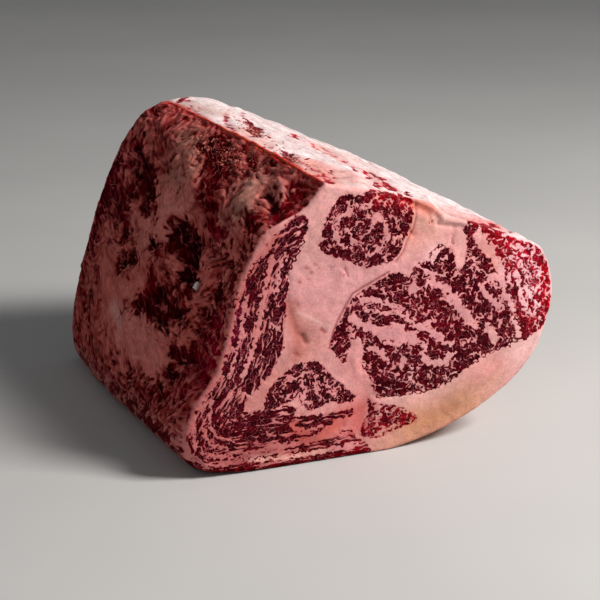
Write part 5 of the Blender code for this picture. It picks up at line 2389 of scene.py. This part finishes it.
@dataclass(frozen=True)
class Lip:
    """The torn lip of skin that stands along the chine ridge."""

    start: float                        # along the loin, in mm
    stop: float
    girth: float                        # in mm
    down: float                         # below the ridge, in mm
    seed: int
    step: float = 0.8                   # between its points, in mm
    wander: float = 0.5                 # how far it strays up and down, in mm
    unevenness: float = 0.35            # how much its girth differs
    waves: Place = (0.21, 0.083)        # how fast that changes, in radians for each mm
    sink: float = 0.1                   # how far it lies in the skin, in girths

    def path(self, skin: Skin) -> tuple[Array, Array]:
        """Lay the lip on the skin.

        Args:
            skin: the finished skin.

        Returns:
            The lip's points, in metres, and its girth at each.
        """
        rng = np.random.default_rng(self.seed)
        along = np.arange(self.start, self.stop, self.step)
        wave = np.cumsum(rng.normal(0, 1, len(along)))
        wave -= np.linspace(wave[0], wave[-1], len(wave))
        wave *= self.wander / max(1.0, np.abs(wave).max())
        points, normals = skin.spots(Side.CHINE, along, self.down + wave)
        quick, slow = self.waves
        girth = self.girth * (1.0 + self.unevenness * np.sin(quick * along + self.seed)
                              * np.sin(slow * along))
        return points - normals * (self.sink * girth * MM)[:, None], girth * MM


@dataclass
class ThreadWork:
    """Sweeps a round profile along threads."""

    sides: int = 6
    grain: float = 700.0                # lumps in a metre of thread

    def tree(self) -> PieceTree:
        """Build the tree that gives paths their thickness."""
        work = PieceTree("thread_work")
        thickness, taper = work.size("Thickness"), work.size("Taper")
        sides = work.size("Sides", "NodeSocketInt")
        unevenness, grain = work.size("Unevenness"), work.size("Grain")
        curve = work.node("GeometryNodeMeshToCurve", {"Mesh": work.start.outputs[0]}).outputs[0]
        share = work.node("GeometryNodeSplineParameter", {}).outputs["Factor"]
        swell = work.math("MULTIPLY", work.math("MULTIPLY", share, 4.0),
                          work.math("SUBTRACT", 1.0, share))
        swell = work.math("POWER", work.math("MAXIMUM", swell, 0.01), taper)
        girth = work.math("MULTIPLY", work.math("MULTIPLY", work.carried("girth"), thickness),
                          swell)
        ring = work.node("GeometryNodeCurvePrimitiveCircle",
                         {"Resolution": sides, "Radius": 1.0}).outputs["Curve"]
        tube = work.node("GeometryNodeCurveToMesh", {"Curve": curve, "Profile Curve": ring,
                                                     "Scale": girth, "Fill Caps": True})
        work.close(work.roughened(tube.outputs[0], unevenness, grain))
        return work

    def piece(self, name: str, threads: list[tuple[Array, Array]], material: bpy.types.Material,
              taper: float, unevenness: float) -> bpy.types.Object:
        """Make one piece of threads.

        Args:
            name: its name.
            threads: each thread's points and girths.
            material: its material.
            taper: 0 for threads of even girth, more for finer ends.
            unevenness: depth of their lumps, in mm.

        Returns:
            The piece.
        """
        points = np.concatenate([thread[0] for thread in threads])
        lengths = [len(thread[0]) for thread in threads]
        starts = np.cumsum([0] + lengths[:-1])
        edges = [(start + k, start + k + 1) for start, length in zip(starts, lengths)
                 for k in range(length - 1)]
        mesh = bpy.data.meshes.new(name)
        mesh.from_pydata(points.tolist(), edges, [])
        girth = mesh.attributes.new("girth", "FLOAT", "POINT")
        girth.data.foreach_set("value", np.concatenate([thread[1] for thread in threads]))
        return self.tree().run(mesh, name, {
            "Thickness": 1.0, "Taper": taper, "Sides": self.sides,
            "Unevenness": unevenness * MM, "Grain": self.grain, "Material": material})


@dataclass
class CrumbWork:
    """Strews torn crumbs of fat over the places that carry them."""

    density: float = 380_000.0          # in a square metre, where they lie closest
    size: Place = (0.25, 0.90)          # radius of the smallest and the largest, in mm
    flattest: tuple[float, float, float] = (0.7, 0.6, 0.25)     # their build, in radii,
    longest: tuple[float, float, float] = (1.6, 1.0, 0.60)      # along, across and up
    lump_depth: float = 0.8             # how far they are lumpy, in radii
    lump_grain: float = 1.4             # how many lumps there are in a radius
    least: float = 0.02                 # a place with less of a patch than this has none
    seed: int = 311

    def tree(self) -> PieceTree:
        """Build the tree that strews crumbs."""
        work = PieceTree("crumb_work")
        density, seed = work.size("Density"), work.size("Seed", "NodeSocketInt")
        smallest, largest = work.size("Smallest"), work.size("Largest")
        spread = work.node("GeometryNodeDistributePointsOnFaces", {
            "Mesh": work.start.outputs[0], "Seed": seed,
            "Density": work.math("MULTIPLY", work.carried("crumbs"), density)})
        lump = work.node("GeometryNodeMeshIcoSphere", {"Radius": 1.0, "Subdivisions": 2})
        lump = work.roughened(lump.outputs["Mesh"], self.lump_depth, self.lump_grain)
        size = work.node("FunctionNodeRandomValue", {
            "Min": self.flattest, "Max": self.longest, "Seed": seed}, data_type="FLOAT_VECTOR")
        reach = work.tree.nodes.new("FunctionNodeRandomValue")
        for name, value in (("Min", smallest), ("Max", largest), ("Seed", seed)):
            socket = next(entry for entry in reach.inputs if entry.name == name and entry.enabled)
            work.tree.links.new(value, socket)
        scale = work.scaled(size.outputs[0], reach.outputs[1])
        strewn = work.node("GeometryNodeInstanceOnPoints", {
            "Points": spread.outputs["Points"], "Instance": lump,
            "Rotation": spread.outputs["Rotation"], "Scale": scale})
        work.close(strewn.outputs[0])
        return work

    def piece(self, name: str, skin: Skin, patches: tuple[Patch, ...],
              material: bpy.types.Material) -> bpy.types.Object:
        """Make one piece of crumbs.

        Args:
            name: its name.
            skin: the skin they lie on.
            patches: where they lie.
            material: its material.

        Returns:
            The piece.
        """
        amount = np.zeros(len(skin.places))
        for patch in patches:
            along, down = skin.unwrap[:, patch.side.index].T
            amount = np.maximum(amount, patch.share(along, down))
        owned = np.isin(skin.owners, [patch.side.index for patch in patches])
        tris = skin.triangles[owned & (amount[skin.triangles].max(axis=1) > self.least)]
        used, corners = np.unique(tris.ravel(), return_inverse=True)
        mesh = blank_mesh(name, skin.places[used], corners, np.full(len(tris), 3))
        layer = mesh.attributes.new("crumbs", "FLOAT", "POINT")
        layer.data.foreach_set("value", amount[used])
        return self.tree().run(mesh, name, {
            "Density": self.density, "Seed": self.seed, "Smallest": self.size[0] * MM,
            "Largest": self.size[1] * MM, "Material": material})


SINEW = (
    Threads(Patch(Side.CHINE, (84.0, 17.0), (36.0, 11.0)), 110, (2.0, 6.0), (0.14, 0.30),
            0.8, 0.20, 401),
    Threads(Patch(Side.CHINE, (88.0, 66.0), (96.0, 62.0)), 84, (5.0, 15.0), (0.14, 0.28),
            0.20, 0.0, 402),
    Threads(Patch(Side.CHINE, (12.0, 102.0), (9.0, 20.0)), 18, (5.0, 12.0), (0.14, 0.26),
            0.2, 0.1, 403),
)
RIDGE_LIPS = (
    Lip(3.0, 128.0, 0.78, 0.3, 421),
    Lip(120.0, 186.0, 0.50, 0.4, 422),
    Lip(30.0, 74.0, 0.40, 2.6, 423),
)
CRUMB_PATCHES = (
    Patch(Side.BACK, (52.0, 9.0), (26.0, 9.0)),
    Patch(Side.BACK, (120.0, 18.0), (26.0, 9.0)),
    Patch(Side.CHINE, (84.0, 14.0), (34.0, 9.0)),
)


@dataclass(frozen=True)
class WetFinish:
    """A thread or crumb that is wet with juice."""

    name: str
    pale: Colour
    bloody: Colour
    rough: float
    specular: float
    pool_size: float = 0.006            # size of the bloody places, in metres
    fleck_size: float = 0.0015          # size of the bloody flecks
    gloss_size: float = 0.002           # size of glossier and duller places
    bump_size: float = 0.0006           # size of the relief
    bump_depth: float = 0.0001

    def material(self) -> bpy.types.Material:
        """Build the material."""
        sheet = NodeSheet(self.name)
        blood = sheet.spread(sheet.noise(self.pool_size), 0.40, 0.62)
        flecks = sheet.spread(sheet.noise(self.fleck_size), 0.5, 0.8, 0.0, 0.6)
        blood = sheet.math("MAXIMUM", blood, flecks)
        sheet.feed(sheet.shader.inputs["Base Color"],
                   sheet.mix(blood, (*self.pale, 1.0), (*self.bloody, 1.0)))
        sheet.feed(sheet.shader.inputs["Roughness"],
                   sheet.spread(sheet.noise(self.gloss_size), 0.3, 0.7, self.rough,
                                self.rough + 0.2))
        sheet.shader.inputs["Specular IOR Level"].default_value = self.specular
        sheet.raise_by(sheet.noise(self.bump_size), 0.4, self.bump_depth)
        return sheet.material


SINEW_FINISH = WetFinish("wet_sinew", tone(176, 72, 66), tone(112, 10, 18), 0.28, 0.25)
LIP_FINISH = WetFinish("torn_skin", tone(238, 82, 50), tone(206, 22, 16), 0.26, 0.30)
CRUMB_FINISH = WetFinish("fat_crumbs", tone(196, 124, 110), tone(140, 32, 32), 0.40, 0.12)
BONE_FINISH = WetFinish("cut_bone", tone(232, 236, 234), tone(214, 204, 196), 0.36, 0.30)


# The corners of the chip of bone: shares of half its width, half its length and its height.
CHIP_CORNERS = ((-1.0, -0.8, -0.6), (0.9, -1.0, -0.6), (1.0, 0.2, -0.6), (0.0, 1.0, -0.6),
                (-0.8, -0.2, -0.6), (-0.7, -0.6, 0.6), (0.6, -0.8, 0.9), (0.5, 0.1, 0.8),
                (0.0, 0.8, 0.4))


@dataclass
class BoneChip:
    """A chip of bone, left where a rib was drawn."""

    along: float = 42.4         # its place on the chine side, in mm
    down: float = 80.2
    width: float = 0.0026       # across it, in metres
    length: float = 0.0038      # up and down
    height: float = 0.0014      # how far it stands out of the flesh

    def piece(self, name: str, skin: Skin, material: bpy.types.Material) -> bpy.types.Object:
        """Build the chip on the finished skin.

        Args:
            name: the piece's name.
            skin: the skin it sits in.
            material: its finish.

        Returns:
            The piece.
        """
        places, normals = skin.spots(Side.CHINE, np.array([self.along]), np.array([self.down]))
        out = normals[0] / np.linalg.norm(normals[0])
        up = np.array((0.0, 0.0, 1.0)) - out * out[2]
        up /= np.linalg.norm(up)
        across = np.cross(up, out)
        shape = bmesh.new()
        for x, y, z in CHIP_CORNERS:
            shape.verts.new(places[0] + across * (x * self.width / 2)
                            + up * (y * self.length / 2) + out * (z * self.height))
        bmesh.ops.convex_hull(shape, input=shape.verts)
        bmesh.ops.recalc_face_normals(shape, faces=shape.faces)
        bmesh.ops.triangulate(shape, faces=shape.faces)
        mesh = bpy.data.meshes.new(name)
        shape.to_mesh(mesh)
        shape.free()
        mesh.materials.append(material)
        return new_object(mesh, name)


@dataclass
class Trimmings:
    """The fine loose pieces on the skin: sinew, the ridge's lip, crumbs of fat and bone."""

    threads: ThreadWork = field(default_factory=ThreadWork)
    crumbs: CrumbWork = field(default_factory=CrumbWork)
    chip: BoneChip = field(default_factory=BoneChip)

    def build(self, skin: Skin) -> list[bpy.types.Object]:
        """Build the loose pieces, dressed.

        Args:
            skin: the finished skin.

        Returns:
            The pieces.
        """
        sinew = [path for crop in SINEW for path in crop.paths(skin)]
        lips = [lip.path(skin) for lip in RIDGE_LIPS]
        return [
            self.threads.piece("sinew_threads", sinew, SINEW_FINISH.material(),
                               taper=0.5, unevenness=0.05),
            self.threads.piece("ridge_lip", lips, LIP_FINISH.material(),
                               taper=0.2, unevenness=0.45),
            self.crumbs.piece("fat_crumbs", skin, CRUMB_PATCHES, CRUMB_FINISH.material()),
            self.chip.piece("bone_chip", skin, BONE_FINISH.material()),
        ]


# ----------------------------------------------------------------------------------------
# The studio.


@dataclass
class Studio:
    """The floor, the lights and the camera round the joint."""

    camera_place: tuple[float, float, float] = (-0.31856, -0.75979, 0.29976)
    camera_turn: float = -23.0          # degrees from straight ahead
    camera_drop: float = 17.0           # degrees below the horizon
    lens: float = 102.0                 # this and the sensor's width are in millimetres
    sensor: float = 36.0
    floor_size: float = 9.0
    floor_cells: int = 24               # along each side of the floor
    key_from: tuple[float, float, float] = (0.55, -0.50, 0.67)
    key_distance: float = 1.35
    key_size: float = 0.42
    key_power: float = 23.5
    fill_place: tuple[float, float, float] = (-1.1, -1.3, 0.9)
    fill_size: float = 1.2
    fill_power: float = 2.0
    aim: tuple[float, float, float] = (0.0, 0.0, 0.06)      # what the lamps look at
    sky: float = 0.14

    def build(self) -> None:
        """Put the floor, the lights and the camera into the scene."""
        self.floor()
        key = Vector(self.key_from).normalized() * self.key_distance + Vector(self.aim)
        self.lamp("key_light", tuple(key), self.key_size, self.key_power, (1.0, 0.97, 0.94))
        self.lamp("fill_light", self.fill_place, self.fill_size, self.fill_power,
                  (0.95, 0.98, 1.0))
        self.surround()
        self.camera()

    def floor(self) -> None:
        """Make the floor as a grid with a soft finish."""
        shape = bmesh.new()
        bmesh.ops.create_grid(shape, x_segments=self.floor_cells, y_segments=self.floor_cells,
                              size=self.floor_size / 2)
        mesh = bpy.data.meshes.new("floor")
        shape.to_mesh(mesh)
        shape.free()
        mesh.materials.append(FloorFinish().material())
        floor = new_object(mesh, "floor")

    def lamp(self, name: str, place: tuple[float, float, float], size: float, power: float,
             colour: Colour) -> None:
        """Hang a soft square lamp that looks at the joint.

        Args:
            name: its name.
            place: where it hangs.
            size: the side of its square, in metres.
            power: in watts.
            colour: the colour of its light.
        """
        light = bpy.data.lights.new(name, "AREA")
        light.size, light.energy, light.color = size, power, colour
        lamp = bpy.data.objects.new(name, light)
        lamp.location = place
        aim = Vector(self.aim) - Vector(place)
        lamp.rotation_euler = aim.to_track_quat("-Z", "Y").to_euler()
        lamp.visible_camera = False
        bpy.context.scene.collection.objects.link(lamp)

    def surround(self) -> None:
        """Give the air round the joint an even pale light."""
        world = bpy.data.worlds.new("studio")
        world.use_nodes = True
        ground = world.node_tree.nodes["Background"]
        ground.inputs["Color"].default_value = (0.96, 0.98, 1.0, 1.0)
        ground.inputs["Strength"].default_value = self.sky
        bpy.context.scene.world = world
        bpy.context.scene.view_settings.view_transform = "Standard"

    def camera(self) -> None:
        """Stand the camera off the near end, to the left of the joint."""
        data = bpy.data.cameras.new("camera")
        data.lens, data.sensor_width = self.lens, self.sensor
        data.clip_start, data.clip_end = 0.05, 40.0
        camera = bpy.data.objects.new("camera", data)
        camera.location = self.camera_place
        turn, drop = math.radians(-self.camera_turn), math.radians(self.camera_drop)
        aim = Vector((math.sin(turn) * math.cos(drop), math.cos(turn) * math.cos(drop),
                      -math.sin(drop)))
        camera.rotation_euler = aim.to_track_quat("-Z", "Y").to_euler()
        bpy.context.scene.collection.objects.link(camera)
        bpy.context.scene.camera = camera


def main() -> None:
    """Build the skin and the studio, and report each piece."""
    logging.basicConfig(level=logging.INFO, format="%(message)s")
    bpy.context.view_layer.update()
    skin = Skin().build()
    finishes = {Side.CHINE: CHINE_FINISH, Side.BACK: BACK_FINISH, Side.CAP: BACK_FINISH,
                Side.REST: REST_FINISH}
    materials = {finish: finish.material() for finish in (CUT_FINISH, *finishes.values())}
    pieces = []
    for side in Side:
        pieces.append(skin.piece(side))
        pieces[-1].data.materials.append(materials[finishes.get(side, CUT_FINISH)])
    for piece in pieces + Trimmings().build(skin):
        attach(piece, BODY_NAME)
        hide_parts(NODE_NAME)
        log.info("%s: %d triangles", piece.name, len(piece.data.polygons))
    Studio().build()


if __name__ == "__main__":
    main()
